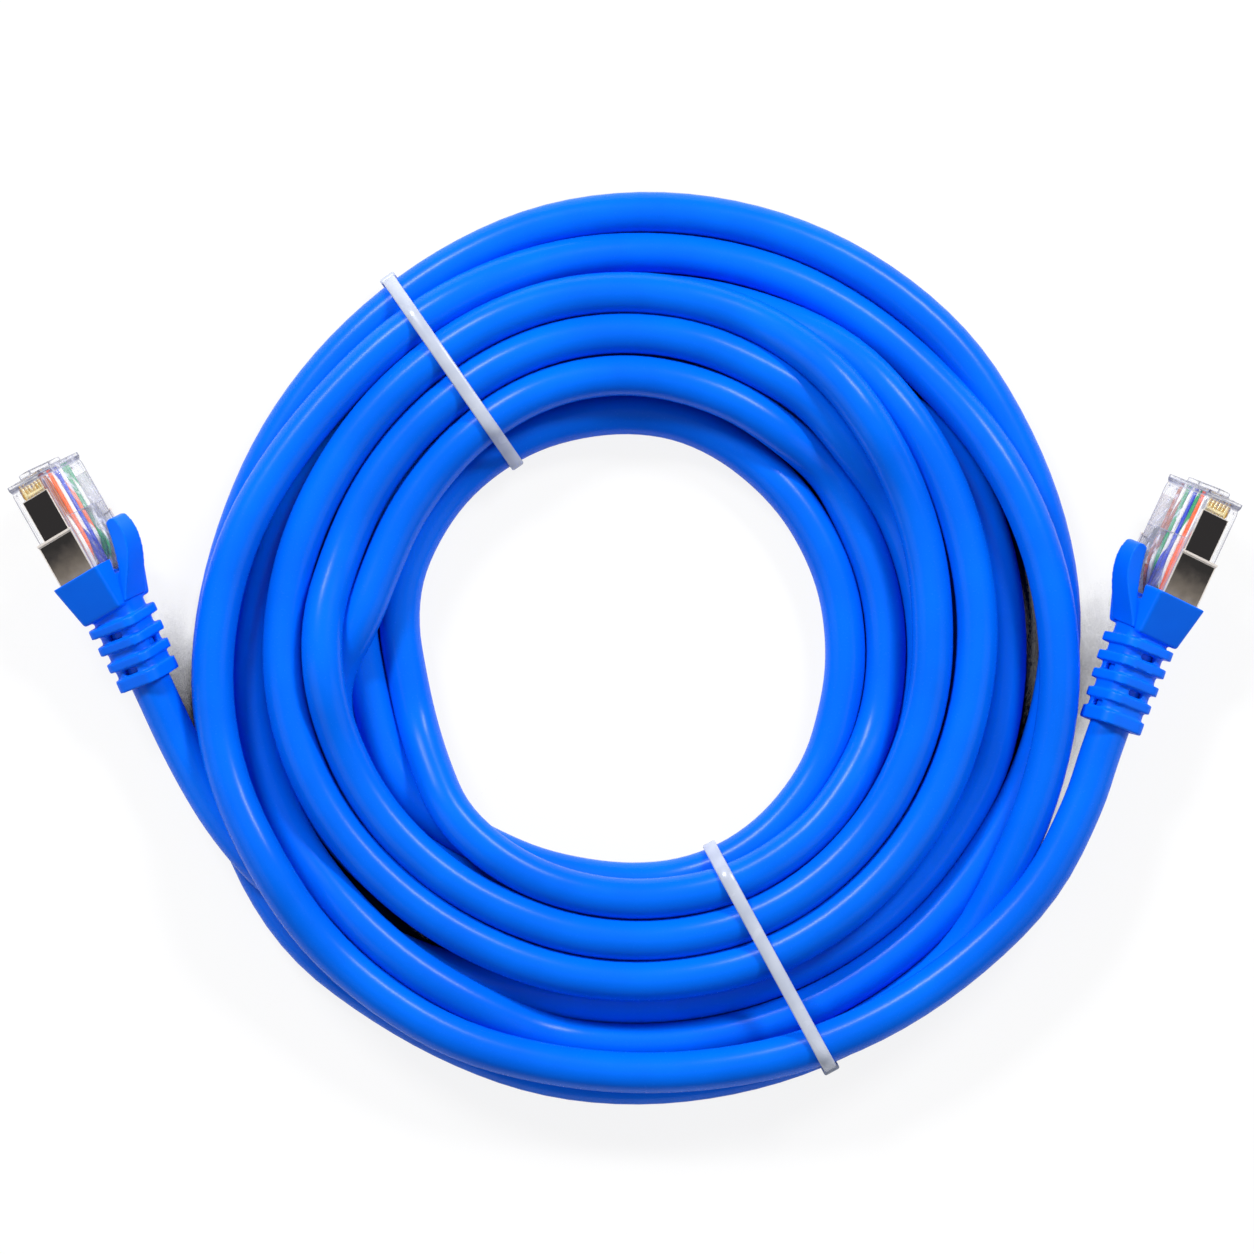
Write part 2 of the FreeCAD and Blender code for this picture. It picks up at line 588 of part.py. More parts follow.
# Latch
def latch(end):
    """The springing arm: wide at its root, stepped to a tab under the guard."""
    body = doc.addObject("PartDesign::Body", f"plug_{end}_latch")
    face = "{plug_height}"
    side = outline(body, f"latch_side_{end}", "YZ_Plane", [
        ("{latch_root} + {latch_root_length}", f"{face} + {{latch_root_gap}}"),
        ("{latch_root} + {latch_root_length}", f"{face} + {{latch_root_gap}} + {{latch_root_thickness}}"),
        ("{latch_root}", f"{face} + {{latch_root_gap}} + {{latch_thickness}}"),
        ("{latch_end}", f"{face} + {{latch_end_gap}} + {{latch_thickness}}"),
        ("{latch_end}", f"{face} + {{latch_end_gap}}"),
        ("{latch_root}", f"{face} + {{latch_root_gap}}"),
    ])
    arm = body.newObject("PartDesign::Pad", f"latch_arm_{end}")
    arm.Profile = side
    arm.Midplane = True
    bind(arm, "Length", "{latch_wide}")
    doc.recompute()
    for name, sign in (("left", -1), ("right", 1)):
        inner, outer = f"{sign}*{{latch_narrow}}/2", f"{sign}*({{latch_wide}}/2 + {{overshoot}})"
        flank = outline(body, f"latch_flank_{end}_{name}", "XY_Plane", [
            (inner, "{latch_end} - {overshoot}"), (outer, "{latch_end} - {overshoot}"),
            (outer, "{latch_shoulder}"), (inner, "{latch_shoulder}"),
        ])
        step = body.newObject("PartDesign::Pocket", f"latch_step_{end}_{name}")
        step.Profile = flank
        step.Midplane = True
        bind(step, "Length", "4*({plug_height} + {latch_end_gap})")
        body.Tip = step
    return body


# Boot
def sleeve_top(y):
    """The sleeve's latch side above the contact face, at a distance from its front edge."""
    front = size("plug_height") + size("boot_clearance") + size("boot_wall_latch")
    return front + (size("boot_rear_top") - front) * -y / size("boot_length")


def rounded_bar(name, width, height, near, far, rounding):
    """A bar along the cord with a rounded rectangular section, in the strain relief's frame."""
    bar = box(
        name + "_block",
        (f"-({width})/2", far, f"-({height})/2"), (f"({width})/2", near, f"({height})/2"),
    )
    doc.recompute()
    rounded = doc.addObject("Part::Fillet", name)
    rounded.Base = bar
    radius = worked_out(rounding)
    rounded.Edges = [
        (i, radius, radius) for i, edge in enumerate(bar.Shape.Edges, start=1) if runs_along(edge, V(0, 1, 0))
    ]
    return rounded


def boot(end):
    """Tapered sleeve over the plug's rear, with its ribbed strain relief in one moulding."""
    rings = int(size(f"rings_{end}"))
    to_plug = plug_placement(end).inverse() * relief_placement(end)
    body = doc.addObject("PartDesign::Body", f"sleeve_{end}")
    wedge = body.newObject("PartDesign::AdditiveWedge", f"sleeve_block_{end}")
    front_half = "({plug_width}/2 + {shield_proud} + {boot_clearance} + {boot_wall})"
    floor = "-({shield_proud} + {boot_clearance} + {boot_wall_contact})"
    for prop, formula in (
        ("Ymin", "-{boot_length}"), ("Ymax", "0"),
        ("Xmin", "-{boot_rear_width}/2"), ("Xmax", "{boot_rear_width}/2"),
        ("Zmin", floor), ("Zmax", "{boot_rear_top}"),
        ("X2min", f"-{front_half}"), ("X2max", front_half),
        ("Z2min", floor), ("Z2max", "{plug_height} + {boot_clearance} + {boot_wall_latch}"),
    ):
        bind(wedge, prop, formula)
    doc.recompute()
    rear = -size("boot_length")
    softened = body.newObject("PartDesign::Fillet", f"sleeve_edges_{end}")
    softened.Base = (wedge, edges_where(
        wedge.Shape, lambda e: e.BoundBox.YMax < -0.001 or e.BoundBox.YMin < rear + 0.001,
    ))
    bind(softened, "Radius", "{boot_edge}")
    body.Tip = softened

    pieces = [rounded_bar(
        f"relief_core_{end}", "{core_width}", "{core_height}",
        "-{relief_front}",
        f"-({{ring_start}} + {rings - 1}*{{ring_pitch}} + {{ring_last_thickness}}/2)", "{core_round}",
    )]
    for number in range(rings):
        share = f"({number}/{rings - 1})"
        thickness = "{ring_thickness}" if number < rings - 1 else "{ring_last_thickness}"
        near = f"-({{ring_start}} + {number}*{{ring_pitch}})"
        pieces.append(rounded_bar(
            f"relief_ring_{end}_{number + 1}",
            f"{{ring_first_width}} + ({{ring_last_width}} - {{ring_first_width}})*{share}",
            f"{{ring_first_height}} + ({{ring_last_height}} - {{ring_first_height}})*{share}",
            near, f"{near} - {thickness}", "{ring_round}",
        ))
    relief = join(f"relief_{end}", *pieces)
    relief.Placement = to_plug

    pocket = box(
        f"plug_pocket_{end}",
        ("-({plug_width}/2 + {shield_proud} + {boot_clearance})", "-({plug_seat} + {boot_clearance})",
         "-({shield_proud} + {boot_clearance})"),
        ("{plug_width}/2 + {shield_proud} + {boot_clearance}", "{overshoot}",
         "{plug_height} + {boot_clearance}"),
    )
    notch = box(
        f"guard_notch_{end}",
        ("-({guard_mid_half} + {guard_side_gap})", "-{guard_crotch}", "{plug_height}"),
        ("{guard_mid_half} + {guard_side_gap}", "{overshoot}", "{plug_height} + {guard_rise}"),
    )
    bore = doc.addObject("Part::Cylinder", f"cord_bore_{end}")
    bind(bore, "Radius", "{cord_diameter}/2 + {cord_clearance}")
    behind = f"{{ring_start}} + {rings}*{{ring_pitch}} + {{ring_last_thickness}}"
    bind(bore, "Height", f"{{bore_front}} + {behind}")
    front = V(0, size("bore_front"), 0)
    bore.Placement = to_plug * FreeCAD.Placement(front, FreeCAD.Rotation(V(1, 0, 0), 90))
    windows = []
    for number in range(rings - 1):
        middle = f"-({{ring_start}} + {number}*{{ring_pitch}} + ({{ring_pitch}} + {{ring_thickness}})/2)"
        across, along = "{core_width}", "{slot_width}/2"
        if number % 2:
            across, along = "{slot_width}/2", "{core_height}"
        windows.append(box(
            f"relief_window_{end}_{number + 1}",
            (f"-{across}", f"{middle} - {{slot_length}}/2", f"-{along}"),
            (across, f"{middle} + {{slot_length}}/2", along),
        ))
    openings = join(f"relief_windows_{end}", *windows)
    openings.Placement = to_plug
    return cut(f"boot_{end}_body", join(f"boot_solid_{end}", body, relief), pocket, notch, bore, openings)


# Guard's back, hand-chosen: along the plug, above the latch face
GUARD_BACK = [(-3.4, 2.35), (0.0, 4.4), (3.0, 5.0)]


def guard(end):
    """The curved tongue over the latch: a side profile, narrowed towards its tip."""
    face = size("plug_height")
    gap = size("guard_gap")
    axis = -size("guard_axis")
    crotch = -size("guard_crotch")
    rear = -size("guard_rear")
    lift = math.sin(math.radians(size("guard_press"))) * (crotch - axis)
    over_crotch = V(0, crotch, sleeve_top(crotch) + gap + lift)
    over_axis = V(0, axis, sleeve_top(axis) + gap)
    over_rear = V(0, rear, sleeve_top(rear) + gap)
    heel = over_rear + V(0, 0, size("guard_edge"))
    over_latch = face + size("latch_end_gap") + size("latch_thickness") + size("guard_latch_gap")
    near_tip = size("guard_reach") - size("guard_tip_round")
    tip_top = V(0, near_tip, face + size("guard_rise") - size("guard_tip_drop"))
    tip_low = V(0, near_tip, face + size("guard_rise") - size("guard_tip_thickness"))
    tip_front = (tip_top + tip_low) / 2 + V(0, size("guard_tip_round"), 0)
    back = Part.BSplineCurve()
    back.interpolate([heel] + [V(0, y, face + z) for y, z in GUARD_BACK] + [tip_top])
    belly = Part.BSplineCurve()
    belly.interpolate([
        tip_low, V(0, size("latch_end"), over_latch), V(0, 0, (over_latch + over_crotch.z) / 2), over_crotch,
    ])
    edges = [back.toShape(), Part.Arc(tip_top, tip_front, tip_low).toShape(), belly.toShape()]
    for start, end_point in ((over_crotch, over_axis), (over_axis, over_rear), (over_rear, heel)):
        edges.append(Part.LineSegment(start, end_point).toShape())
    root = size("guard_root_half")
    past = size("overshoot")
    side = Part.Face(Part.Wire(edges)).extrude(V(2 * root, 0, 0))
    side.translate(V(-root, 0, 0))
    reach = size("guard_reach") + past
    half = [(rear - past, root), (0, size("guard_mid_half")), (reach, size("guard_tip_half"))]
    corners = [V(x, y, 0) for y, x in half] + [V(-x, y, 0) for y, x in reversed(half)]
    plan = Part.Face(Part.makePolygon(corners + corners[:1])).extrude(V(0, 0, face + 2 * size("guard_rise")))
    return solid_from(f"boot_{end}_guard", side.common(plan))


# Cord
def layer_heights():
    """Centre heights of the lower and the upper layer of the coil."""
    lower = size("strap_thickness") + size("strap_clearance") + size("cord_diameter") / 2
    return lower, lower + turn_pitch()


def coil_state(turn):
    """Centre point and direction of the coiled cord after a number of turns."""
    pitch = turn_pitch()
    lower, upper = layer_heights()
    climb = size("climb_turns")
    inward = size("lower_turns")
    outward = inward + climb
    per_turn = 2 * math.pi
    if turn <= inward:
        radius, grows, height, climbs = coil_radius(inward - turn), -pitch, lower, 0
    elif turn >= outward:
        radius, grows, height, climbs = coil_radius(turn - outward), pitch, upper, 0
    else:
        share = (turn - inward) / climb
        offset = share - 0.5
        radius = size("coil_inner_radius") + pitch * climb * offset**2
        grows = pitch * 2 * offset
        height = lower + (upper - lower) * share**2 * (3 - 2 * share)
        climbs = (upper - lower) * 6 * share * (1 - share) / climb
    angle = math.radians(size("coil_start_angle")) + per_turn * turn
    out = V(math.cos(angle), math.sin(angle), 0)
    ahead = V(-math.sin(angle), math.cos(angle), 0)
    point = V(size("coil_centre_x"), size("coil_centre_y"), height) + out * radius
    direction = ahead * (per_turn * radius) + out * grows + V(0, 0, climbs)
    return point, direction.normalize()


def arc_from(start, start_direction, reach, end):
    """The arc that leaves start along a direction and whose tangents meet after reach."""
    corner = start + start_direction * reach
    middle = (start + end) / 2
    chord = (end - start).Length / 2
    bend = math.acos(min(1.0, chord / reach))
    if bend < 1e-6:
        return Part.LineSegment(start, end).toShape()
    return Part.Arc(start, middle + (corner - middle) * (math.tan(bend / 2) / math.tan(bend)), end).toShape()


def biarc(start, start_direction, end, end_direction):
    """Two tangent arcs from one point and direction to another."""
    across = end - start
    both = start_direction + end_direction
    spread = 2 * (1 - start_direction.dot(end_direction))
    along = across.dot(both)
    reach = (-along + math.sqrt(along**2 + spread * across.dot(across))) / spread
    first_corner = start + start_direction * reach
    last_corner = end - end_direction * reach
    joint = (first_corner + last_corner) / 2
    back = arc_from(end, end_direction * -1, reach, joint)
    last = Part.Arc(joint, back.valueAt((back.FirstParameter + back.LastParameter) / 2), end).toShape()
    return [arc_from(start, start_direction, reach, joint), last]


def coil_stops():
    """Turns at which the coil's arcs meet: about every quarter turn, and at each change."""
    half_climb = size("climb_turns") / 2
    stops = [0.0]
    for length in (size("lower_turns"), half_climb, half_climb, size("upper_turns")):
        pieces = max(1, round(4 * length))
        start = stops[-1]
        stops += [start + length * (i + 1) / pieces for i in range(pieces)]
    return stops


def coil():
    """One unbroken tube: in along the lower layer, up, and out along the upper layer."""
    states = [coil_state(turn) for turn in coil_stops()]
    edges = []
    for (start, start_direction), (end, end_direction) in zip(states, states[1:]):
        edges += biarc(start, start_direction, end, end_direction)
    path = Part.Wire(edges)
    solid = tube(path, size("cord_diameter"))
    report_tube("cord_coil", solid, path, size("cord_diameter"))
    print(f"coil: {coil_stops()[-1]:.2f} turns, least gap to itself {least_gap(path):.3f}")
    return solid_from("cord_coil", solid), path


def points_on(path):
    """Points close together along a path."""
    points = []
    for edge in path.OrderedEdges:
        points += edge.discretize(25)[:-1]
    return points


def least_gap(path):
    """The smallest free space between two turns, measured on points along the centre line."""
    points = points_on(path)
    diameter = size("cord_diameter")
    apart = int(4 * diameter * len(points) / path.Length)
    near = 1.5 * diameter
    least = min(
        (points[i] - points[j]).Length
        for i in range(len(points)) for j in range(i + apart, len(points))
        if abs(points[i].x - points[j].x) < near and abs(points[i].y - points[j].y) < near
    )
    return least - diameter


# Free stretches: hand-chosen points between the strain relief and the coil, each by its
# bearing from the coil's middle, its distance outside the coil's end, and its height
TAIL_A = [
    (195.77, 8.72, 5.0), (200.73, 7.56, 4.4), (207.23, 7.12, 4.0), (218.95, 5.83, 3.75), (231.71, 4.07, 3.72),
]
TAIL_B = [(338.29, 3.09, 9.5), (330.38, 2.4, 9.85), (319.48, 1.37, 10.1)]


def tail(end, beside_coil, inward):
    """Straight through the strain relief, then along its points to the coil's end face."""
    relief = relief_placement(end)
    along = relief.Rotation.multVec(V(0, -1, 0))
    start = relief.Base
    leaves = start + along * relief_length(end)
    point, direction = beside_coil
    points = [leaves, leaves + along * size("tail_lead")]
    points += [around_coil(end, *place) for place in (TAIL_A if end == "a" else TAIL_B)]
    points += [point - direction * inward * size(f"tail_{end}_run"), point]
    free, radii = smooth_path(points)
    path = Part.Wire([Part.LineSegment(start, leaves).toShape()] + free.Edges)
    solid = tube(path, size("cord_diameter"))
    report_tube(f"cord_tail_{end}", solid, path, size("cord_diameter"))
    print(f"cord_tail_{end}: radii " + ", ".join(f"{r:.0f}" for r in radii))
    print("points " + ", ".join(f"({p.x:.1f}, {p.y:.1f}, {p.z:.2f})" for p in points))
    return solid_from(f"cord_tail_{end}", solid), path


# Cable ties
def crossings(points, origin, direction):
    """Where the coil crosses a vertical plane within its reach of origin, as points in that plane."""
    found = []
    before = None
    for point in points:
        place = point - origin
        side = direction.x * place.y - direction.y * place.x
        along = direction.x * place.x + direction.y * place.y
        if before is not None and side * before[0] <= 0 and abs(along) < size("coil_inner_radius"):
            share = abs(before[0]) / (abs(before[0]) + abs(side))
            found.append(V(along, place.z, 0) * share + before[1] * (1 - share))
        before = (side, V(along, place.z, 0))
    return found


def hull_round(points):
    """The convex polygon round points, without those that lie on its sides."""
    ordered = sorted(points, key=lambda place: (place.x, place.y))
    corners = []
    for sequence in (ordered, ordered[::-1]):
        half = []
        for point in sequence:
            while len(half) > 1 and (half[-1] - half[-2]).cross(point - half[-1]).z < 0.01:
                half.pop()
            half.append(point)
        corners += half[:-1]
    return corners


def tie(name, path):
    """A strap drawn round both layers, with its head in the hollow under the outermost turn."""
    angle = math.radians(size(f"tie_{name}_angle"))
    origin = V(size(f"tie_{name}_x"), size(f"tie_{name}_y"), 0)
    direction = V(math.cos(angle), math.sin(angle), 0)
    sideways = direction.cross(UP)
    width = size("strap_width")
    places = []
    for shift in (-width / 2, 0, width / 2):
        places += crossings(points_on(path), origin + sideways * shift, direction)
    middle = sum(layer_heights()) / 2
    below = sorted((place for place in places if place.y < middle), key=lambda place: place.x)
    above = sorted((place for place in places if place.y > middle), key=lambda place: place.x)
    corners = hull_round(places)
    hull = Part.makePolygon(corners + corners[:1])
    inside = size("cord_diameter") / 2 + size("strap_clearance")
    outside = inside + size("strap_thickness")
    band = Part.Face(hull.makeOffset2D(outside)).cut(Part.Face(hull.makeOffset2D(inside)))
    strap = band.extrude(V(0, 0, width))
    strap.translate(V(0, 0, -width / 2))
    climb = (above[-1] - below[-1]).normalize()
    outward = V(climb.y, -climb.x, 0)
    depth = climb.cross(outward)
    half = size("head_length") / 2
    head_top = inside + size("head_height")
    lowest = size("head_floor") - below[-1].y - head_top * outward.y
    start = max(0, lowest / climb.y)
    head = Part.makeBox(2 * half, size("head_height"), size("head_width"))
    head = head.makeFillet(size("head_round"), head.Edges)
    foot = below[-1] + outward * inside + climb * start - depth * (size("head_width") / 2)
    head.Placement = FreeCAD.Placement(foot, FreeCAD.Rotation(climb, outward, depth, "XYZ"))
    piece = solid_from(f"tie_{name}", strap.fuse(head).removeSplitter())
    piece.Placement = FreeCAD.Placement(origin, FreeCAD.Rotation(direction, UP, sideways, "XYZ"))
    print(f"tie_{name}: strap corners " + ", ".join(f"({c.x:.1f}, {c.y:.2f})" for c in corners))
    return piece


# Assembly
subparts = []
for end, colours in (("a", COLOURS_A), ("b", COLOURS_B)):
    fixed = [housing(end), shield(end), contacts(end), load_bar(end), foil(end), drain_wire(end)]
    fixed += wires(end, colours)
    fixed += [latch(end), boot(end), guard(end)]
    for piece in fixed:
        piece.Placement = plug_placement(end)
    subparts += fixed

coil_piece, coil_path = coil()
tail_a, path_a = tail("a", coil_state(0), 1)
tail_b, path_b = tail("b", coil_state(coil_stops()[-1]), -1)
subparts += [coil_piece, tail_a, tail_b, tie("top", coil_path), tie("bottom", coil_path)]
total = coil_path.Length + path_a.Length + path_b.Length
print(f"whole cord: {total:.0f} mm from jacket end to jacket end")
for end in ("a", "b"):
    to_part = plug_placement(end)
    for name, y, z in (
        ("latch", size("latch_root"),
         size("plug_height") + size("latch_root_gap") + size("latch_thickness") / 2),
        ("guard", -size("guard_axis"), sleeve_top(-size("guard_axis")) + size("guard_gap")),
    ):
        place = to_part.multVec(V(0, y, z))
        axis = to_part.Rotation.multVec(V(1 if name == "latch" else -1, 0, 0))
        print(f"{name}_{end}: hinge at {tuple(place)}, axis {tuple(axis)}")
doc.recompute()

# Checks and export
for thing in doc.Objects:
    if "Invalid" in thing.State or "Error" in thing.State:
        raise RuntimeError(f"{thing.Name} failed: {thing.State}")
os.makedirs("parts", exist_ok=True)
for piece in subparts:
    piece.Label = piece.Name
    if piece.Shape.isNull() or not piece.Shape.isValid():
        raise RuntimeError(f"{piece.Name} has no valid shape")
for piece in subparts:
    piece.Shape.exportStep(f"parts/{piece.Label}.step")
print(f"{len(subparts)} sub-parts written")
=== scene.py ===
import math
import bmesh
import bpy
from mathutils import Matrix, Vector


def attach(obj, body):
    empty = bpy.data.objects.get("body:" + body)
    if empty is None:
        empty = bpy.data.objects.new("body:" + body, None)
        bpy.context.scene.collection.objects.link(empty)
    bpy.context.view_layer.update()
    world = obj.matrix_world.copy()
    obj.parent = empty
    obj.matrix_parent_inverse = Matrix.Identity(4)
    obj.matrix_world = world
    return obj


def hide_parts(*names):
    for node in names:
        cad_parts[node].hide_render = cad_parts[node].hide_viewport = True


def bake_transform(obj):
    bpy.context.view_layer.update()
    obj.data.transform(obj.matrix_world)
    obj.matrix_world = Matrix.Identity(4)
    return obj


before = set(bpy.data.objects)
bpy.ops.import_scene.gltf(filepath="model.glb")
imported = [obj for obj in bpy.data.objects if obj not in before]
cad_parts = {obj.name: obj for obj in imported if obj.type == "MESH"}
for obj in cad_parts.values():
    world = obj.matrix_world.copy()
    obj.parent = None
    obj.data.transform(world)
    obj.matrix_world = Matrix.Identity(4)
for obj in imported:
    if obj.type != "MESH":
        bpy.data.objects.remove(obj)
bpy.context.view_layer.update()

# Dressed scene of a shielded ethernet patch cable: a round blue cord in a flat, hand-wound
# coil under two white cable ties, with a clear plug, a ribbed boot and a curved latch guard
# on each end. Metres, +Z up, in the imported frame.

bl_info = {
    "name": "Ethernet Patch Cable",
    "version": (1, 0, 0),
    "blender": (4, 5, 0),
    "location": "3D View > Sidebar > Patch Cable",
    "description": "Builds a coiled ethernet patch cable over its packed solids",
    "category": "Object",
}

MM = 0.001
ENDS = ("a", "b")
WIRE_COLOURS = (
    "white_green", "green", "white_orange", "blue", "white_blue", "orange", "white_brown", "brown",
)
WIRE_TONES = {"orange": "#FF6410", "green": "#009A5A", "blue": "#0038C8", "brown": "#A4521C"}
WIRE_WHITE = "#F4F2EC"

# Plug frames in millimetres and degrees: x across the contacts, y towards the tip and z from
# the contact face to the latch face, with the origin at the boot's front edge.
PLUG_FRAMES = {"a": ((-80.303, 10.395, 6.5), 29.5, 59.4), "b": ((80.595, 7.155, 6.5), -25.0, -59.4)}

# Tail points in millimetres: from the jacket's end inside each boot, out through the strain
# relief, to the coil
TAIL_B = (
    (76.2, 3.85, 8.03), (71.0, -11.0, 8.85), (69.1, -16.2, 9.1), (67.0, -23.0, 9.4),
)
TAIL_A = (
    (-49.5, -36.2, 5.6), (-54.9, -31.0, 7.4), (-59.6, -25.2, 6.4), (-63.3, -19.2, 5.6),
    (-66.6, -12.8, 5.8), (-69.0, -7.4, 6.4), (-70.4, -4.4, 6.67), (-75.66, 7.45, 8.03),
)

# The coil, read from the photograph: (distance from the coil's middle, height) of the cord's
# line in millimetres, every 12 degrees clockwise from bearing 330, in the order of the turns
COIL_MIDDLE = (0.37, -0.37)
COIL_START = 330
COIL_STEP = -12
COIL = (
    (69.9, 9.8), (67.6, 9.4), (65.9, 9.7), (64.4, 9.7), (63.0, 8.8), (62.3, 8.6), (62.2, 8.6),
    (62.8, 8.9), (62.6, 8.9), (62.6, 9.6), (61.8, 13.1), (62.2, 10.0), (61.9, 9.0), (60.9, 9.0),
    (59.7, 8.9), (58.1, 8.4), (57.3, 8.0), (57.6, 8.2), (58.0, 7.4), (58.5, 5.0), (58.9, 3.0),
    (59.3, 3.0), (59.8, 3.0), (59.9, 3.0), (60.0, 4.3), (61.1, 7.6), (62.1, 8.5), (63.0, 8.9),
    (63.7, 9.0), (63.9, 8.7), (64.5, 7.4), (66.3, 3.4), (65.7, 3.7), (65.1, 3.7), (64.6, 3.0),
    (64.4, 3.0), (64.3, 3.0), (63.8, 3.0), (63.9, 3.0), (65.0, 3.0), (64.3, 3.0), (62.9, 3.0),
    (62.4, 3.0), (61.4, 3.0), (60.7, 3.0), (60.8, 3.0), (61.1, 3.2), (61.7, 3.7), (62.8, 3.7),
    (64.2, 3.0), (64.9, 3.0), (65.4, 3.0), (65.8, 3.0), (65.9, 3.0), (65.9, 3.0), (64.9, 3.0),
    (64.5, 3.0), (64.2, 3.0), (63.2, 3.0), (62.0, 3.0), (60.8, 3.0), (60.3, 3.2), (59.6, 3.7),
    (59.1, 3.7), (58.6, 3.0), (58.3, 3.0), (58.3, 3.5), (56.9, 7.9), (56.6, 9.0), (56.5, 8.5),
    (56.9, 4.6), (56.9, 3.0), (56.4, 3.0), (55.3, 3.0), (54.6, 3.0), (54.1, 3.0), (53.6, 3.2),
    (53.5, 3.7), (53.3, 3.7), (52.8, 3.0), (52.8, 3.0), (53.2, 3.0), (53.7, 3.0), (54.4, 6.4),
    (53.6, 9.0), (52.9, 8.2), (52.0, 8.5), (51.5, 8.7), (50.9, 8.8), (50.5, 9.0), (50.3, 8.8),
    (50.1, 8.9), (49.9, 9.2), (49.7, 9.0), (49.1, 8.4), (48.8, 8.4), (48.7, 8.5), (48.6, 8.7),
    (48.9, 8.9), (49.5, 9.0), (50.4, 9.0), (51.0, 8.9), (51.3, 8.8), (51.2, 7.6), (51.1, 7.9),
    (51.0, 8.2), (51.3, 8.7), (51.7, 9.4), (52.4, 9.7), (52.9, 9.0), (52.8, 9.0), (52.5, 9.0),
    (51.8, 8.7), (50.5, 11.9), (48.5, 12.4), (47.0, 9.3), (45.8, 8.8), (44.8, 8.9), (44.5, 9.0),
    (44.2, 8.9), (44.1, 8.8), (44.0, 8.9), (43.9, 9.2), (43.6, 9.0), (43.1, 8.5), (42.8, 8.6),
    (42.6, 8.7), (42.5, 8.8), (42.9, 9.0), (43.5, 9.0), (44.2, 8.8), (44.7, 9.0), (45.3, 11.9),
    (45.5, 10.7), (44.7, 8.2), (44.9, 8.2), (45.2, 8.5), (45.6, 9.4), (46.3, 9.6), (46.8, 9.0),
    (46.8, 8.9), (46.5, 9.0), (45.7, 8.6), (45.6, 8.5), (44.2, 8.0), (44.3, 3.7), (44.1, 3.0),
    (44.0, 3.0), (44.0, 3.0), (44.0, 3.0), (42.8, 3.0), (42.2, 3.2), (41.4, 3.7), (40.7, 3.7),
    (40.7, 3.0), (40.5, 3.0), (40.5, 3.0), (41.1, 3.0), (42.0, 3.0), (43.8, 3.0), (45.2, 3.0),
    (45.2, 3.0), (44.7, 5.0), (39.8, 8.9), (38.5, 8.1), (38.6, 8.1), (38.9, 8.3), (39.5, 9.4),
    (40.2, 9.6), (40.6, 9.0), (40.6, 9.0), (40.1, 8.9), (39.7, 8.6), (39.1, 7.3), (39.4, 3.2),
    (38.3, 3.0), (38.1, 3.0), (38.0, 3.0), (38.0, 3.0), (38.2, 3.8), (38.0, 6.6), (38.1, 7.5),
    (37.8, 8.5), (37.6, 8.9), (37.0, 8.6), (36.7, 8.6), (36.5, 8.7), (36.4, 8.9), (36.1, 9.0),
    (35.7, 8.7), (34.0, 5.8), (33.2, 3.0), (33.2, 3.0), (34.4, 3.0), (35.3, 3.0), (35.4, 3.0),
    (35.6, 3.0), (35.5, 3.7), (35.4, 3.7), (35.1, 3.2), (35.0, 3.0), (34.8, 3.0), (34.1, 3.0),
    (33.3, 3.0), (32.8, 3.0), (32.3, 3.0), (32.1, 3.0), (31.9, 3.0), (32.0, 3.0), (32.2, 3.0),
    (33.1, 3.0), (33.6, 3.6), (34.2, 3.7), (34.6, 3.7), (34.7, 3.0), (34.5, 3.0), (34.5, 3.0),
    (35.1, 3.0), (35.9, 3.0), (37.7, 3.0), (39.3, 3.0), (39.2, 3.0), (39.2, 3.0), (40.8, 3.0),
    (41.6, 3.0), (41.9, 3.0), (41.7, 3.0), (41.6, 3.7), (41.4, 3.7), (41.1, 3.0), (41.0, 3.0),
    (41.1, 3.0), (41.9, 3.0), (43.3, 3.0), (47.4, 3.0), (50.1, 3.0), (50.0, 3.0), (49.9, 3.0),
    (49.9, 3.0), (50.0, 3.0), (48.8, 3.0), (48.2, 3.2), (47.5, 3.7), (46.7, 3.7), (46.6, 3.0),
    (46.4, 3.0), (46.5, 3.0), (47.0, 3.0), (48.0, 3.0), (49.9, 3.0), (51.1, 3.0), (51.0, 3.0),
    (50.2, 3.0), (47.3, 3.0), (47.7, 3.0), (48.0, 3.0), (47.6, 3.0), (47.6, 3.7), (47.3, 3.7),
    (46.9, 3.0), (47.0, 3.0), (47.2, 3.0), (47.8, 3.0), (49.5, 3.0), (53.9, 3.0), (56.1, 3.0),
    (56.0, 3.0), (55.8, 3.0), (55.8, 3.0), (56.0, 3.0), (54.8, 3.0), (54.3, 3.2), (53.6, 3.7),
    (53.0, 3.7), (52.6, 3.0), (52.3, 3.0), (52.4, 3.0), (53.5, 3.0), (56.3, 3.0), (59.0, 3.0),
)

# Cable ties: a point on the surface under the strap's middle, the bearing in which it runs,
# and the outermost strands that it is drawn round, along that bearing and up, millimetres
TIES = {
    "tie_top": ((-25.9, 40.8, 0), 124.7, (
        (-13.6, 3.72), (12.88, 3.72), (8.55, 7.98), (2.76, 9.53), (-9.3, 9.47),
    )),
    "tie_bottom": ((21.1, -45.75, 0), -61.5, (
        (-15.6, 3.72), (15.03, 3.72), (14.49, 9.66), (-12.7, 8.84),
    )),
}

# A strap's inner face from the strands' middle lines, millimetres, and the rounding of its
# edges as a share of its thickness
STRAP_INSIDE = 3.12
STRAP_EASE = 0.35

# A tie's head, millimetres and degrees: along the strap, outwards and across; its floor from the
# strand's middle line; how far below level it sits; the rounding of its edges
HEAD_SIZE = (2.8, 0.95, 2.5)
HEAD_INSIDE = 3.2
HEAD_TURN = -30.0
HEAD_EASE = 0.3

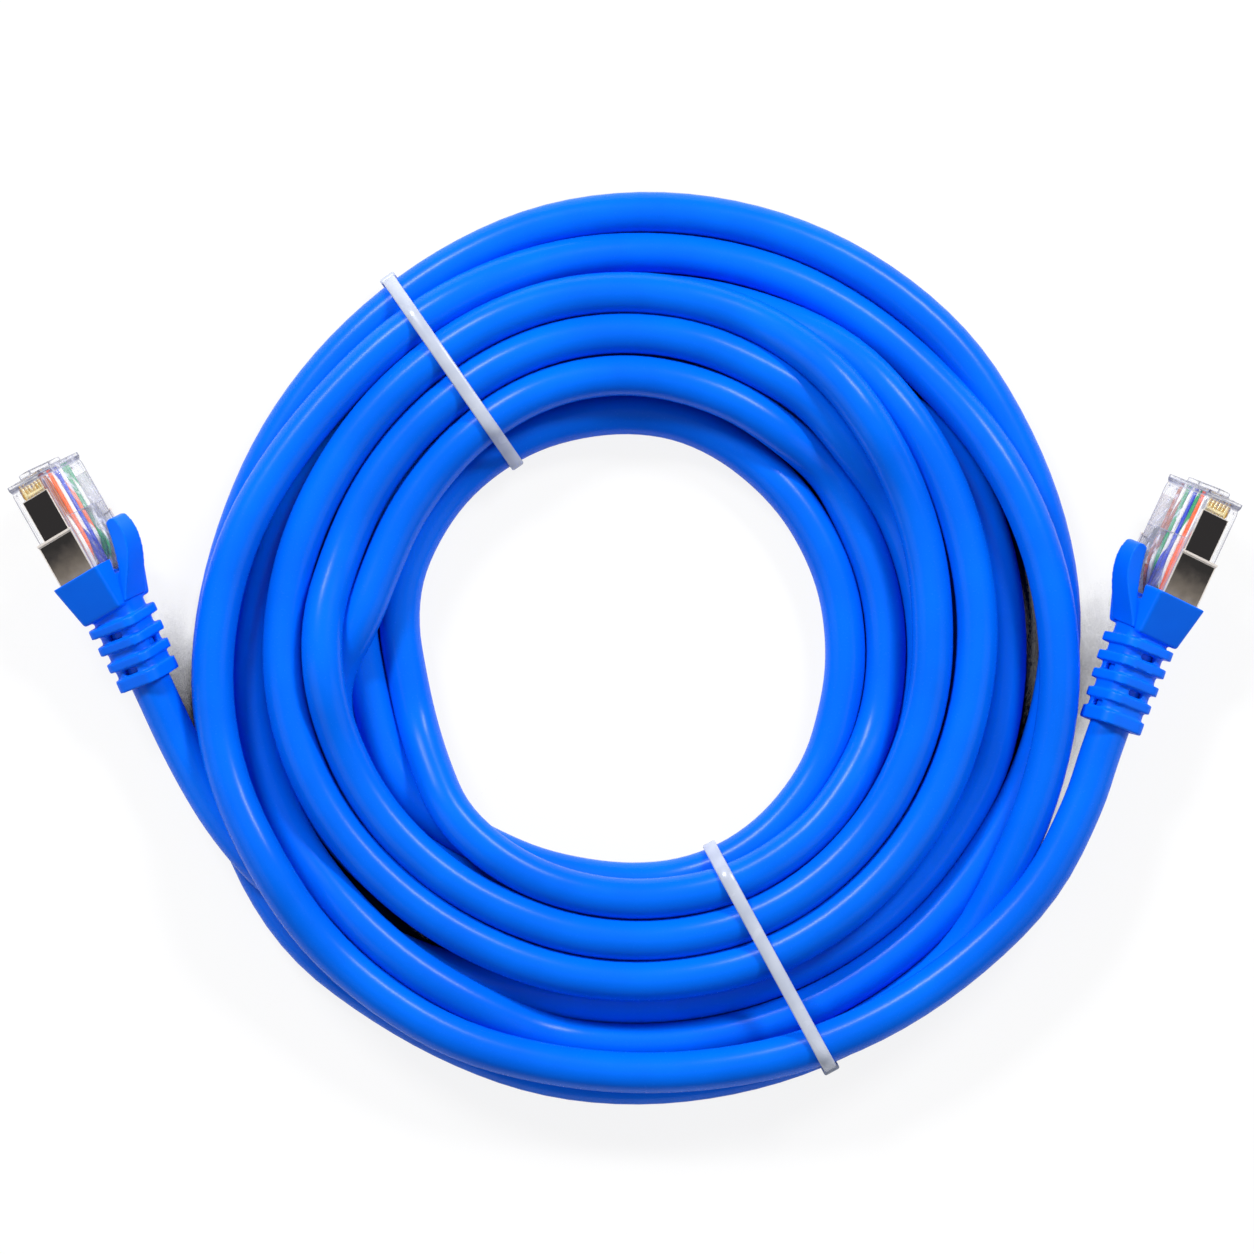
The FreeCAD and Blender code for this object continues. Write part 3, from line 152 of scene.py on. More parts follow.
# The shield in a plug's own frame, millimetres: its rear part, its lip and its front plates along
# the plug, its outlines, and the rounding and the hems of its sheet
SHIELD_REAR = (-1.4, 6.5)
SHIELD_LIP = (6.46, 6.86)
SHIELD_FRONT = (6.47, 13.4)
SHEET = 0.25
SHIELD_HALF = 5.99
SHIELD_TOP = 6.5
SHIELD_FLOOR = -0.15
PLATE_HALF = 5.84
PLATE_HEIGHTS = (1.2, 6.15)
LIP_RISE = 0.2
SHEET_EASE = 0.07
HEM_REAR = 0.2
HEM_FRONT = 0.08
HEM_HEIGHT = 0.03
# the least area of a flat that gets a hem, square millimetres
HEMMED_AREA = 20

# The contact blades, millimetres: outline along the plug and up, thickness, rounding and row
BLADE = (
    (13.52, 0.62), (13.9, 0.4), (15.2, 0.35), (15.88, 0.55), (15.9, 0.75), (15.2, 1.02),
    (14.25, 1.12), (14.12, 4.62), (13.98, 4.66), (13.84, 4.62), (13.76, 1.12), (13.52, 0.95),
)
BLADE_THICKNESS = 0.32
BLADE_EASE = 0.05
BLADE_PITCH = 1.016
BLADE_COUNT = 8

# How a moulded piece gets its skin: voxel in millimetres, and the passes that ease it
BOOT_SKIN = (0.17, 5)
GUARD_SKIN = (0.13, 6)
SHELL_SKIN = (0.14, 3)
SMALL_SKIN = (0.12, 3)

# Points that are closer than this are one, metres
MERGE_WITHIN = 0.000001

# The housing's body and the nose on its front: low and high corner, and the rounding of its edges
HOUSING_BLOCKS = (
    ((-4.35, 15.2, 1.9), (4.35, 16.4, 4.1), (0.5, 0.35, 0.35)),
    ((-5.84, -5.0, 0.0), (5.84, 15.6, 6.5), (0.8, 1.1, 0.5)),
)
# how far outside a block's faces a point of the skin may lie and still count as the block's
BLOCK_MARGIN = 0.1

# What clear plastic fills round the wires' row, over the contact slots and in the load bar, so
# that light meets few walls: half width, low and high, then from where to where along the plug
HOUSING_FILL = (
    ((4.3, 0.62, 5.5), (8.6, 15.5)),
    ((4.2, 2.0, 4.0), (15.3, 16.2)),
)
COMB_FILL = (((4.4, 3.75, 5.55), (5.5, 8.5)),)

# Edges that show as painted lines in the clear plastic, standing in for the light the wall bends
# there:
# low and high corner, width of the line, weight
HOUSING_LINES = (
    ((-5.84, -5.0, 0.0), (5.84, 15.6, 6.5), 0.9, 1.0),
    ((-4.35, 14.8, 1.9), (4.35, 16.4, 4.1), 0.5, 0.9),
    ((-4.64, -5.0, 0.45), (4.64, 8.7, 5.75), 0.32, 0.6),
)

# The web behind the guard's notch, from its high to its low face, and from where to where the
# guard bends, millimetres
WEB = (
    ((-2.95, -6.4, 6.75), (2.95, -6.4, 6.75), (2.35, -2.35, 8.25), (-2.35, -2.35, 8.25)),
    ((-2.95, -6.4, 5.6), (2.95, -6.4, 5.6), (2.35, -2.35, 6.6), (-2.35, -2.35, 6.6)),
)

# The camera looks straight down: height above the plugs' level, width of its frame there, and
# the point that it stands over, metres
CAMERA_HEIGHT = 1.2
FRAME_WIDTH = 0.18441
CAMERA_OVER = (-0.00007, 0.00301)
PLUG_LEVEL = 0.0065

# Lamps: name, place in metres, watts, size in metres
LAMPS = (
    ("lamp_far_left", (-0.55, 0.8, 0.8), 12.5, (0.38, 0.17)),
    ("lamp_far_right", (0.6, 0.75, 0.8), 10.5, (0.38, 0.17)),
    ("lamp_low_left", (-0.9, -0.4, 0.6), 2.2, (0.9, 0.9)),
    ("lamp_low_right", (0.9, -0.4, 0.6), 2.2, (0.9, 0.9)),
    ("lamp_overhead", (0.0, 0.3, 1.5), 1.6, (1.6, 1.6)),
)
AMBIENT = 0.16

# The ground: half its width and how near a thing must be to shade it, metres; how open it is
# where it is quite dark and where it is quite lit; its glow to the eye and in what mirrors it
GROUND_HALF = 3.0
SHADE_REACH = 0.01
SHADE_DARK = 0.265
SHADE_LIT = 0.37
GROUND_GLOW = 0.86
GROUND_MIRRORED = 0.15


def colour(code):
    """A colour as the shaders take it, from its sRGB hex code."""
    parts = [int(code[i:i + 2], 16) / 255 for i in (1, 3, 5)]
    return (*[c / 12.92 if c <= 0.04045 else ((c + 0.055) / 1.055) ** 2.4 for c in parts], 1.0)


def plug_matrix(end):
    """From a plug's own frame, in millimetres, to the part's, in metres."""
    place, yaw, roll = PLUG_FRAMES[end]
    turn = Matrix.Rotation(math.radians(yaw), 4, "Z") @ Matrix.Rotation(math.radians(roll), 4, "Y")
    return Matrix.Translation(Vector(place) * MM) @ turn @ Matrix.Scale(MM, 4)


def plug_turn(end):
    """How a texture is turned, so that it runs along its plug."""
    _, yaw, roll = PLUG_FRAMES[end]
    return (0, -math.radians(roll), -math.radians(yaw))


# Node trees
def add(tree, kind, inputs=None, **settings):
    """Adds a node with its settings, and fills its inputs with values or links."""
    made = tree.nodes.new(kind)
    for name, value in settings.items():
        setattr(made, name, value)
    for name, value in (inputs or {}).items():
        if isinstance(value, bpy.types.NodeSocket):
            tree.links.new(value, made.inputs[name])
        else:
            made.inputs[name].default_value = value
    return made


def new_material(name):
    """A node material, its tree and the place of a shaded point."""
    material = bpy.data.materials.new(name)
    material.use_nodes = True
    tree = material.node_tree
    tree.nodes.clear()
    return material, tree, add(tree, "ShaderNodeTexCoord").outputs["Object"]


def finish_material(tree, inputs):
    """The Principled shader with its constants and links, wired to the output."""
    shader = add(tree, "ShaderNodeBsdfPrincipled", inputs)
    add(tree, "ShaderNodeOutputMaterial", {"Surface": shader.outputs["BSDF"]})


def maths(tree, operation, *values):
    """What a math node makes of its values."""
    return add(tree, "ShaderNodeMath", dict(enumerate(values)), operation=operation).outputs[0]


def spots(tree, place, per_metre, detail=2.0, roughness=0.5):
    """Even noise, its scale in spots per metre."""
    return add(tree, "ShaderNodeTexNoise", {
        "Vector": place, "Scale": per_metre, "Detail": detail, "Roughness": roughness,
    }).outputs["Fac"]


def bump(tree, height, strength, distance, **more):
    """The normal over bumps, their height in metres."""
    return add(tree, "ShaderNodeBump", {
        "Height": height, "Strength": strength, "Distance": distance, **more,
    }).outputs["Normal"]


def ramp(tree, factor, stops):
    """A colour ramp through stops, each a position and a colour."""
    made = add(tree, "ShaderNodeValToRGB", {"Fac": factor})
    elements = made.color_ramp.elements
    while len(elements) < len(stops):
        elements.new(0.5)
    for element, (position, tone) in zip(elements, stops):
        element.position = position
        element.color = tone
    return made.outputs["Color"]


def span(tree, value, low, high):
    """A number from 0 to 1 moved into a range."""
    return add(tree, "ShaderNodeMapRange", {
        "Value": value, "To Min": low, "To Max": high,
    }).outputs["Result"]


def seen_directly(tree):
    """Whether a ray comes from the eye, straight or through clear plastic."""
    rays = add(tree, "ShaderNodeLightPath").outputs
    return maths(tree, "MAXIMUM", rays["Is Camera Ray"], rays["Is Transmission Ray"])


def moulded_plastic(name, hex_code, hex_deep, roughness, grain, lump):
    """Satin moulded or extruded plastic: slow shade changes, fine grain and faint sheen."""
    # Soft PVC takes up dirt and light unevenly, so its blue drifts a little along the piece;
    # the grain is what the die or the mould leaves.
    material, tree, place = new_material(name)
    drift = spots(tree, place, 60, 3.0)
    fine = spots(tree, place, grain, 3.0, 0.6)
    uneven = bump(tree, spots(tree, place, 420, 1.0), lump, 0.0003)
    finish_material(tree, {
        "Base Color": ramp(tree, drift, ((0.35, colour(hex_deep)), (0.65, colour(hex_code)))),
        "Roughness": span(tree, fine, roughness - 0.05, roughness + 0.05),
        "Normal": bump(tree, fine, 0.10, 0.00006, Normal=uneven),
        "IOR": 1.5, "Specular IOR Level": 0.12,
    })
    return material


def clear_plastic(name, hex_code, hex_edge, veil, turn):
    """Clear moulded polycarbonate: see-through face on, with painted bluish lines and shade at its
    edges.
    """
    # A thin clear wall shows its edges and rounded corners much more than its flats, because it
    # bends and mirrors the light there; here that is painted, as bluish colour and a less
    # see-through skin at the edges and where the wall turns away. The melt leaves long streaks
    # along the plug, about a millimetre apart, some of them milky.
    material, tree, place = new_material(name)
    turned = add(tree, "ShaderNodeMapping", {"Vector": place, "Rotation": turn})
    long = add(tree, "ShaderNodeMapping", {
        "Vector": turned.outputs["Vector"], "Scale": (1.0, 0.16, 1.0),
    })
    flow = spots(tree, long.outputs["Vector"], 900, 2.0)
    ripple = bump(tree, flow, 0.5, 0.00025)
    facing = add(tree, "ShaderNodeLayerWeight", {"Blend": 0.5, "Normal": ripple}).outputs["Facing"]
    solid = add(tree, "ShaderNodeMapRange", {
        "Value": facing, "From Min": 0.36, "From Max": 0.9, "To Min": veil, "To Max": 0.95,
    }, interpolation_type="SMOOTHSTEP")
    milky = add(tree, "ShaderNodeMapRange", {
        "Value": flow, "From Min": 0.58, "From Max": 0.7, "To Max": 14 * veil,
    })
    edge = add(tree, "ShaderNodeAttribute", attribute_name="edge").outputs["Fac"]
    # painted refraction lines: an edge shows twice, once in the skin and once bent inside the wall
    line = ramp(tree, edge, [(at, (share, share, share, 1)) for at, share in (
        (0.08, 0.0), (0.2, 0.5), (0.34, 0.1), (0.48, 0.2), (0.64, 0.95), (0.8, 0.5),
    )])
    drawn = maths(tree, "MULTIPLY", line, span(tree, flow, 0.2, 1.7))
    seen = maths(tree, "MAXIMUM", solid.outputs["Result"], milky.outputs["Result"])
    both = maths(tree, "MAXIMUM", seen, drawn)
    # most of the light passes through to what lies inside
    shade = add(tree, "ShaderNodeLightPath").outputs["Is Shadow Ray"]
    # painted shade: the colour runs to the edge tone at the edge lines and where the wall turns
    # away from the eye
    dark = maths(tree, "MAXIMUM", facing, edge)
    finish_material(tree, {
        "Base Color": ramp(tree, dark, ((0.4, colour(hex_code)), (0.75, colour(hex_edge)))),
        "Alpha": maths(tree, "MULTIPLY", both, span(tree, shade, 1.0, 0.15)),
        "Roughness": span(tree, flow, 0.03, 0.10), "Normal": ripple, "IOR": 1.58,
    })
    return material


def plated_metal(name, stops, roughness, metallic=1.0):
    """Plated sheet or blade, shaded by a painted reflection along the piece's own "along"
    attribute.
    """
    # Drawn metal mirrors the dark end of a studio in one place and the pale one in another; here
    # that is a painted reflection, a base colour that runs with the "along" attribute. The small
    # scratches are the handling marks.
    material, tree, place = new_material(name)
    along = add(tree, "ShaderNodeAttribute", attribute_name="along").outputs["Fac"]
    drift = maths(tree, "MULTIPLY_ADD", spots(tree, place, 700, 3.0), 0.3, along)
    marks = spots(tree, place, 900, 4.0, 0.7)
    finish_material(tree, {
        "Base Color": ramp(tree, drift, [(position, colour(code)) for position, code in stops]),
        "Metallic": metallic, "Normal": bump(tree, marks, 0.2, 0.00002),
        "Roughness": span(tree, marks, roughness * 0.6, roughness * 1.5),
    })
    return material


def wire_insulation(name, hex_code, hex_stripe, turn):
    """Glossy insulation of one wire, in one colour or white with a thin coloured stripe."""
    # The stripe is a band across the plug's own x direction, nudged by noise as the wire twists.
    material, tree, place = new_material(name)
    fine = spots(tree, place, 2500, 2.0)
    tone = colour(hex_code)
    if hex_stripe:
        turned = add(tree, "ShaderNodeMapping", {"Vector": place, "Rotation": turn})
        bands = add(tree, "ShaderNodeTexWave", {
            "Vector": turned.outputs["Vector"], "Scale": 95.0, "Distortion": 1.2, "Detail": 1.0,
            "Detail Scale": 1.5,
        }, wave_type="BANDS", bands_direction="X")
        tone = ramp(tree, bands.outputs["Fac"], (
            (0.60, colour(hex_code)), (0.74, colour(hex_stripe)),
        ))
    finish_material(tree, {
        "Base Color": tone, "Roughness": span(tree, fine, 0.22, 0.34),
        "Normal": bump(tree, fine, 0.06, 0.00003), "IOR": 1.5,
    })
    return material


def crumpled_foil(name, hex_code, hex_shade):
    """Thin shielding foil, creased where it is folded round the jacket's end."""
    material, tree, place = new_material(name)
    # foil folded by hand breaks into small flat facets; the creases between them are bumped and
    # painted dark, a painted shade
    creases = add(tree, "ShaderNodeTexVoronoi", {
        "Vector": place, "Scale": 1500.0,
    }, feature="DISTANCE_TO_EDGE").outputs["Distance"]
    finish_material(tree, {
        "Base Color": ramp(tree, creases, ((0.0, colour(hex_shade)), (0.25, colour(hex_code)))),
        "Metallic": 1.0, "Roughness": 0.28, "Normal": bump(tree, creases, 0.5, 0.0001),
    })
    return material


def moulded_nylon(name, hex_code, hex_shade):
    """White nylon, glossy and slightly milky."""
    material, tree, place = new_material(name)
    # the resin cools unevenly, which leaves faint milky clouds under an almost smooth skin
    cloud = spots(tree, place, 220, 2.0)
    finish_material(tree, {
        "Base Color": ramp(tree, cloud, ((0.3, colour(hex_shade)), (0.7, colour(hex_code)))),
        "Roughness": span(tree, cloud, 0.2, 0.32), "IOR": 1.53,
        "Normal": bump(tree, spots(tree, place, 3000, 2.0), 0.05, 0.00005),
    })
    return material


# Meshes
def mesh_object(name, mesh):
    """Links a mesh as a piece at the origin."""
    made = bpy.data.objects.new(name, mesh)
    bpy.context.scene.collection.objects.link(made)
    return made


def shade_smooth(mesh):
    """Smooth shading on every face."""
    for face in mesh.polygons:
        face.use_smooth = True


def give(node, material):
    """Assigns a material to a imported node's slots."""
    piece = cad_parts[node]
    if not piece.material_slots:
        piece.data.materials.append(material)
    for slot in piece.material_slots:
        slot.link = "OBJECT"
        slot.material = material


def rounded_path(corners, reach, step=12.0):
    """A closed line at a distance round a convex row of points, with arcs at its corners."""
    # corners run anticlockwise; each arc turns from one side's normal to the next's
    following = corners[1:] + corners[:1]
    sides = [math.atan2(a[0] - b[0], b[1] - a[1]) for a, b in zip(corners, following)]
    line = []
    for i, (across, up) in enumerate(corners):
        start = sides[i - 1]
        turn = (sides[i] - start) % (2 * math.pi)
        pieces = max(1, round(math.degrees(turn) / step))
        for k in range(pieces + 1):
            angle = start + turn * k / pieces
            line.append((across + reach * math.cos(angle), up + reach * math.sin(angle)))
    return line


def plain_mesh(made, name):
    """A finished bmesh as a mesh."""
    mesh = bpy.data.meshes.new(name)
    made.to_mesh(mesh)
    made.free()
    return mesh


def outward_mesh(made, name):
    """A finished bmesh as a mesh, with its faces pointing outwards."""
    made.normal_update()
    bmesh.ops.recalc_face_normals(made, faces=made.faces)
    return plain_mesh(made, name)


def paint(mesh, material):
    """Gives a whole mesh one material."""
    mesh.materials.clear()
    mesh.materials.append(material)
    for face in mesh.polygons:
        face.material_index = 0


def baked(piece):
    """What a piece's modifiers make, as a plain mesh; the piece itself goes."""
    depsgraph = bpy.context.evaluated_depsgraph_get()
    mesh = bpy.data.meshes.new_from_object(piece.evaluated_get(depsgraph))
    bpy.data.objects.remove(piece)
    return mesh


def merged_copy(end, node):
    """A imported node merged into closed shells, in its plug's own frame, millimetres."""
    made = bmesh.new()
    made.from_mesh(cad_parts[node].data)
    bmesh.ops.remove_doubles(made, verts=made.verts, dist=MERGE_WITHIN)
    bmesh.ops.transform(made, matrix=plug_matrix(end).inverted(), verts=made.verts)
    return made


def rounded_corners(mesh, blocks):
    """Draws each block's outer edges in to its radius; what lies inside a block stays."""
    for vertex in mesh.vertices:
        for low, high, ease in blocks:
            spans = zip(low, vertex.co, high)
            if all(a - BLOCK_MARGIN <= c <= b + BLOCK_MARGIN for a, c, b in spans):
                core = [min(max(c, a + e), b - e) for a, c, b, e in zip(low, vertex.co, high, ease)]
                out = Vector([(c - k) / e for c, k, e in zip(vertex.co, core, ease)])
                if out.length > 1:
                    vertex.co = [k + o / out.length * e for k, o, e in zip(core, out, ease)]
                break


def note_edges(mesh, lines):
    """Keeps how near each point is to its block's edges, for the clear plastic's painted edge
    lines.
    """
    shares = [0.0] * len(mesh.vertices)
    for low, high, width, weight in lines:
        for i, vertex in enumerate(mesh.vertices):
            near = sorted(min(abs(c - a), abs(c - b)) for a, c, b in zip(low, vertex.co, high))
            shares[i] = max(shares[i], weight * (1 - math.hypot(near[0], near[1]) / width))
    mesh.attributes.new("edge", "FLOAT", "POINT").data.foreach_set("value", shares)


def softened(made, end, name, grade, fill=(), blocks=(), lines=()):
    """One skin over closed shells, its edges eased as a mould leaves them."""
    voxel, passes = grade
    for (half, low, high), (near, far) in fill:
        prism(made, ((-half, low), (half, low), (half, high), (-half, high)), near, far)
    draft = mesh_object(f"{name}_draft", plain_mesh(made, name))
    skin = draft.modifiers.new("skin", "REMESH")
    skin.mode = "VOXEL"
    skin.voxel_size = voxel
    ease = draft.modifiers.new("ease", "SMOOTH")
    ease.factor = 0.5
    ease.iterations = passes
    mesh = baked(draft)
    rounded_corners(mesh, blocks)
    note_edges(mesh, lines)
    return placed(mesh, end, name)


def placed(mesh, end, name):
    """A mesh made in a plug's own frame, put in its place as a smooth piece."""
    mesh.transform(plug_matrix(end))
    shade_smooth(mesh)
    return mesh_object(name, mesh)


def closed_between(made, first, last):
    """A closed shell from one ring of points to another."""
    first, last = ([made.verts.new(point) for point in ring] for ring in (first, last))
    made.faces.new(first)
    made.faces.new(last[::-1])
    for i in range(len(first)):
        made.faces.new((first[i - 1], last[i - 1], last[i], first[i]))


def prism(made, outline, near, far):
    """A closed outline in x and z, drawn out along the plug."""
    closed_between(made, *([(x, y, z) for x, z in outline] for y in (near, far)))


def ease_edges(made, ease, segments=2):
    """Rounds every edge of closed shells."""
    bmesh.ops.recalc_face_normals(made, faces=made.faces)
    bmesh.ops.bevel(
        made, geom=made.edges[:], offset=ease, segments=segments, profile=0.5, affect="EDGES",
    )


def note_along(mesh, axis, low, high):
    """Keeps each point's share of the way along one axis, for the metal's painted reflection."""
    shares = [
        min(1.0, max(0.0, (vertex.co[axis] - low) / (high - low))) for vertex in mesh.vertices
    ]
    mesh.attributes.new("along", "FLOAT", "POINT").data.foreach_set("value", shares)


# Geometry Nodes
def new_tree(name, sizes):
    """An empty geometry tree with a geometry input and output and named sizes."""
    tree = bpy.data.node_groups.new(name, "GeometryNodeTree")
    tree.interface.new_socket("Geometry", in_out="OUTPUT", socket_type="NodeSocketGeometry")
    tree.interface.new_socket("Geometry", in_out="INPUT", socket_type="NodeSocketGeometry")
    for label, kind in sizes:
        tree.interface.new_socket(label, in_out="INPUT", socket_type=kind)
    return tree, add(tree, "NodeGroupInput")


def finish_tree(tree, geometry, material):
    """Real instances, smooth faces and a material, wired to the output."""
    real = add(tree, "GeometryNodeRealizeInstances", {"Geometry": geometry})
    smooth = add(tree, "GeometryNodeSetShadeSmooth", {"Geometry": real.outputs["Geometry"]})
    painted = add(tree, "GeometryNodeSetMaterial", {
        "Geometry": smooth.outputs["Geometry"], "Material": material,
    })
    add(tree, "NodeGroupOutput", {"Geometry": painted.outputs["Geometry"]})


def grown(mesh, name, tree, values):
    """A mesh with a geometry tree applied, as a plain mesh."""
    draft = mesh_object(f"{name}_draft", mesh)
    grower = draft.modifiers.new("grown", "NODES")
    grower.node_group = tree
    for socket in tree.interface.items_tree:
        if socket.in_out == "INPUT" and socket.name in values:
            grower[socket.identifier] = values[socket.name]
    made = baked(draft)
    paint(made, values["Material"])
    return made


def strap_tree():
    """A band of one width and thickness along a closed line."""
    tree, given = new_tree("strap_along_line", (
        ("Width", "NodeSocketFloat"), ("Thickness", "NodeSocketFloat"),
        ("Material", "NodeSocketMaterial"),
    ))
    line = add(tree, "GeometryNodeMeshToCurve", {"Mesh": given.outputs["Geometry"]})
    section = add(tree, "GeometryNodeCurvePrimitiveQuadrilateral", {
        "Width": given.outputs["Width"], "Height": given.outputs["Thickness"],
    })
    eased = add(tree, "GeometryNodeFilletCurve", {
        "Curve": section.outputs["Curve"],
        "Radius": maths(tree, "MULTIPLY", given.outputs["Thickness"], STRAP_EASE),
    })
    for socket in eased.inputs:
        if socket.name == "Count":
            socket.default_value = 3
    band = add(tree, "GeometryNodeCurveToMesh", {
        "Curve": line.outputs["Curve"], "Profile Curve": eased.outputs["Curve"],
    })
    finish_tree(tree, band.outputs["Mesh"], given.outputs["Material"])
    return tree


def row_tree():
    """Copies of one blade in a straight row, side by side."""
    tree, given = new_tree("blade_row", (
        ("Count", "NodeSocketInt"), ("Pitch", "NodeSocketFloat"),
        ("Material", "NodeSocketMaterial"),
    ))
    gap = add(tree, "ShaderNodeCombineXYZ", {"X": given.outputs["Pitch"]})
    # the row starts half its length to the left of the middle
    gaps = maths(tree, "SUBTRACT", 1.0, given.outputs["Count"])
    first = add(tree, "ShaderNodeVectorMath", {
        0: gap.outputs["Vector"], "Scale": maths(tree, "MULTIPLY", gaps, 0.5),
    }, operation="SCALE")
    row = add(tree, "GeometryNodeMeshLine", {
        "Count": given.outputs["Count"], "Start Location": first.outputs["Vector"],
        "Offset": gap.outputs["Vector"],
    })
    blades = add(tree, "GeometryNodeInstanceOnPoints", {
        "Points": row.outputs["Mesh"], "Instance": given.outputs["Geometry"],
    })
    finish_tree(tree, blades.outputs["Instances"], given.outputs["Material"])
    return tree


def level(bearing):
    """The level direction at a bearing in degrees."""
    return Vector((math.cos(math.radians(bearing)), math.sin(math.radians(bearing)), 0))


def strap_line(origin, bearing, corners, reach):
    """The closed middle line of a strap round the strands, metres."""
    made = bmesh.new()
    line = [
        made.verts.new((Vector(origin) + level(bearing) * across + Vector((0, 0, up))) * MM)
        for across, up in rounded_path(corners, reach)
    ]
    for vertex, after in zip(line, line[1:] + line[:1]):
        made.edges.new((vertex, after))
    return plain_mesh(made, "strap_line")


def add_tie_head(mesh, origin, bearing, strand):
    """The tie's head, snug against the outermost strand below its middle."""
    turn = math.radians(HEAD_TURN)
    along = level(bearing)
    outward = along * math.cos(turn) + Vector((0, 0, math.sin(turn)))
    aside = Vector((along.y, -along.x, 0))
    length, height, width = HEAD_SIZE
    middle = Vector(origin) + along * strand[0] + Vector((0, 0, strand[1]))
    middle += outward * (HEAD_INSIDE + height / 2)
    head = bmesh.new()
    block = bmesh.ops.create_cube(head, size=1.0)["verts"]
    axes = Matrix((outward * height, aside * width, outward.cross(aside) * length)).transposed()
    for vertex in block:
        vertex.co = middle + axes @ vertex.co
    head.normal_update()
    ease_edges(head, HEAD_EASE, segments=3)
    block = outward_mesh(head, "tie_head")
    block.transform(Matrix.Scale(MM, 4))
    made = bmesh.new()
    made.from_mesh(mesh)
    made.from_mesh(block)
    made.to_mesh(mesh)
    made.free()
    bpy.data.meshes.remove(block)
    shade_smooth(mesh)


# Settings
class PatchCableCord(bpy.types.PropertyGroup):
    """Sizes and colours of the cord."""
    diameter: bpy.props.FloatProperty(
        name="Diameter", description="Outer diameter of the jacket", default=0.006, unit="LENGTH")
    length: bpy.props.FloatProperty(
        name="Length", description="Whole cord between the two jacket ends",
        default=2.97, unit="LENGTH")
    hex_code: bpy.props.StringProperty(
        name="Jacket", description="Colour of the jacket, sRGB hex", default="#006AF0")
    hex_deep: bpy.props.StringProperty(
        name="Jacket, deeper", description="Darker end of the jacket's drift, sRGB hex",
        default="#0061E3")


class PatchCableTies(bpy.types.PropertyGroup):
    """Sizes and colours of the cable ties."""
    width: bpy.props.FloatProperty(
        name="Width", description="Width of the strap", default=0.002, unit="LENGTH")
    thickness: bpy.props.FloatProperty(
        name="Thickness", description="Thickness of the strap", default=0.0006, unit="LENGTH")
    hex_code: bpy.props.StringProperty(
        name="Nylon", description="Colour of the ties, sRGB hex", default="#BEC4D2")
    hex_shade: bpy.props.StringProperty(
        name="Nylon, shade", description="Milky shade in the nylon, sRGB hex", default="#A9B1C4")


class PatchCablePlugs(bpy.types.PropertyGroup):
    """Colours of the plugs and boots."""
    boot: bpy.props.StringProperty(
        name="Boot", description="Colour of boot and guard, sRGB hex", default="#0070FF")
    boot_deep: bpy.props.StringProperty(
        name="Boot, deeper", description="Darker end of the boot's drift, sRGB hex",
        default="#0066F2")
    clear: bpy.props.StringProperty(
        name="Housing", description="Veil of the clear housing, sRGB hex", default="#E6E7F2")
    # the painted shade that the clear housing takes on where its wall turns away from the eye
    clear_edge: bpy.props.StringProperty(
        name="Housing, edges", description="Clear housing where it turns away, sRGB hex",
        default="#43486E")
    sheet: bpy.props.StringProperty(
        name="Shield", description="Bright edges of the plated shield, sRGB hex", default="#E6DED6")
    gold: bpy.props.StringProperty(
        name="Contacts", description="Colour of the contacts, sRGB hex", default="#E2B24E")


# Pieces
class PATCHCABLE_OT_cord(bpy.types.Operator):
    """Lay the cord as one line from boot to boot, wound in its coil"""
    bl_idname = "patchcable.cord"
    bl_label = "Cord"

    def execute(self, context):
        sizes = context.scene.patchcable_cord
        middle = Vector(COIL_MIDDLE)
        coil = []
        for i, (reach, height) in enumerate(COIL):
            turn = math.radians(COIL_START + COIL_STEP * i)
            x = middle.x + reach * math.cos(turn)
            coil.append((x, middle.y + reach * math.sin(turn), height))
        route = [Vector(point) * MM for point in (*TAIL_B, *coil, *TAIL_A)]
        curve = bpy.data.curves.new("cord", "CURVE")
        curve.dimensions = "3D"
        curve.bevel_depth = sizes.diameter / 2
        curve.bevel_resolution = 11
        curve.resolution_u = 4
        curve.use_fill_caps = True
        line = curve.splines.new("NURBS")
        line.points.add(len(route) - 1)
        for point, place in zip(line.points, route):
            point.co = (*place, 1.0)
        line.order_u = 3
        line.use_endpoint_u = True
        cord = bpy.data.objects.new("cord", curve)
        context.scene.collection.objects.link(cord)
        curve.materials.append(moulded_plastic(
            "jacket_blue_satin", sizes.hex_code, sizes.hex_deep,
            roughness=0.26, grain=2600, lump=0.03,
        ))
        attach(cord, "cable")
        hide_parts("cord_coil", "cord_tail_a", "cord_tail_b")
        return {"FINISHED"}


class PATCHCABLE_OT_ties(bpy.types.Operator):
    """Strap the coil with two white cable ties, each with its head"""
    bl_idname = "patchcable.ties"
    bl_label = "Cable ties"

    def execute(self, context):
        sizes = context.scene.patchcable_ties
        nylon = moulded_nylon("tie_nylon_gloss", sizes.hex_code, sizes.hex_shade)
        tree = strap_tree()
        reach = STRAP_INSIDE + sizes.thickness / MM / 2
        for name, (origin, bearing, corners) in TIES.items():
            mesh = grown(strap_line(origin, bearing, corners, reach), name, tree, {
                "Width": sizes.width, "Thickness": sizes.thickness, "Material": nylon,
            })
            add_tie_head(mesh, origin, bearing, corners[1])
            tie = mesh_object(f"{name}_strap", mesh)
            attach(tie, "cable")
            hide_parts(name)
        return {"FINISHED"}


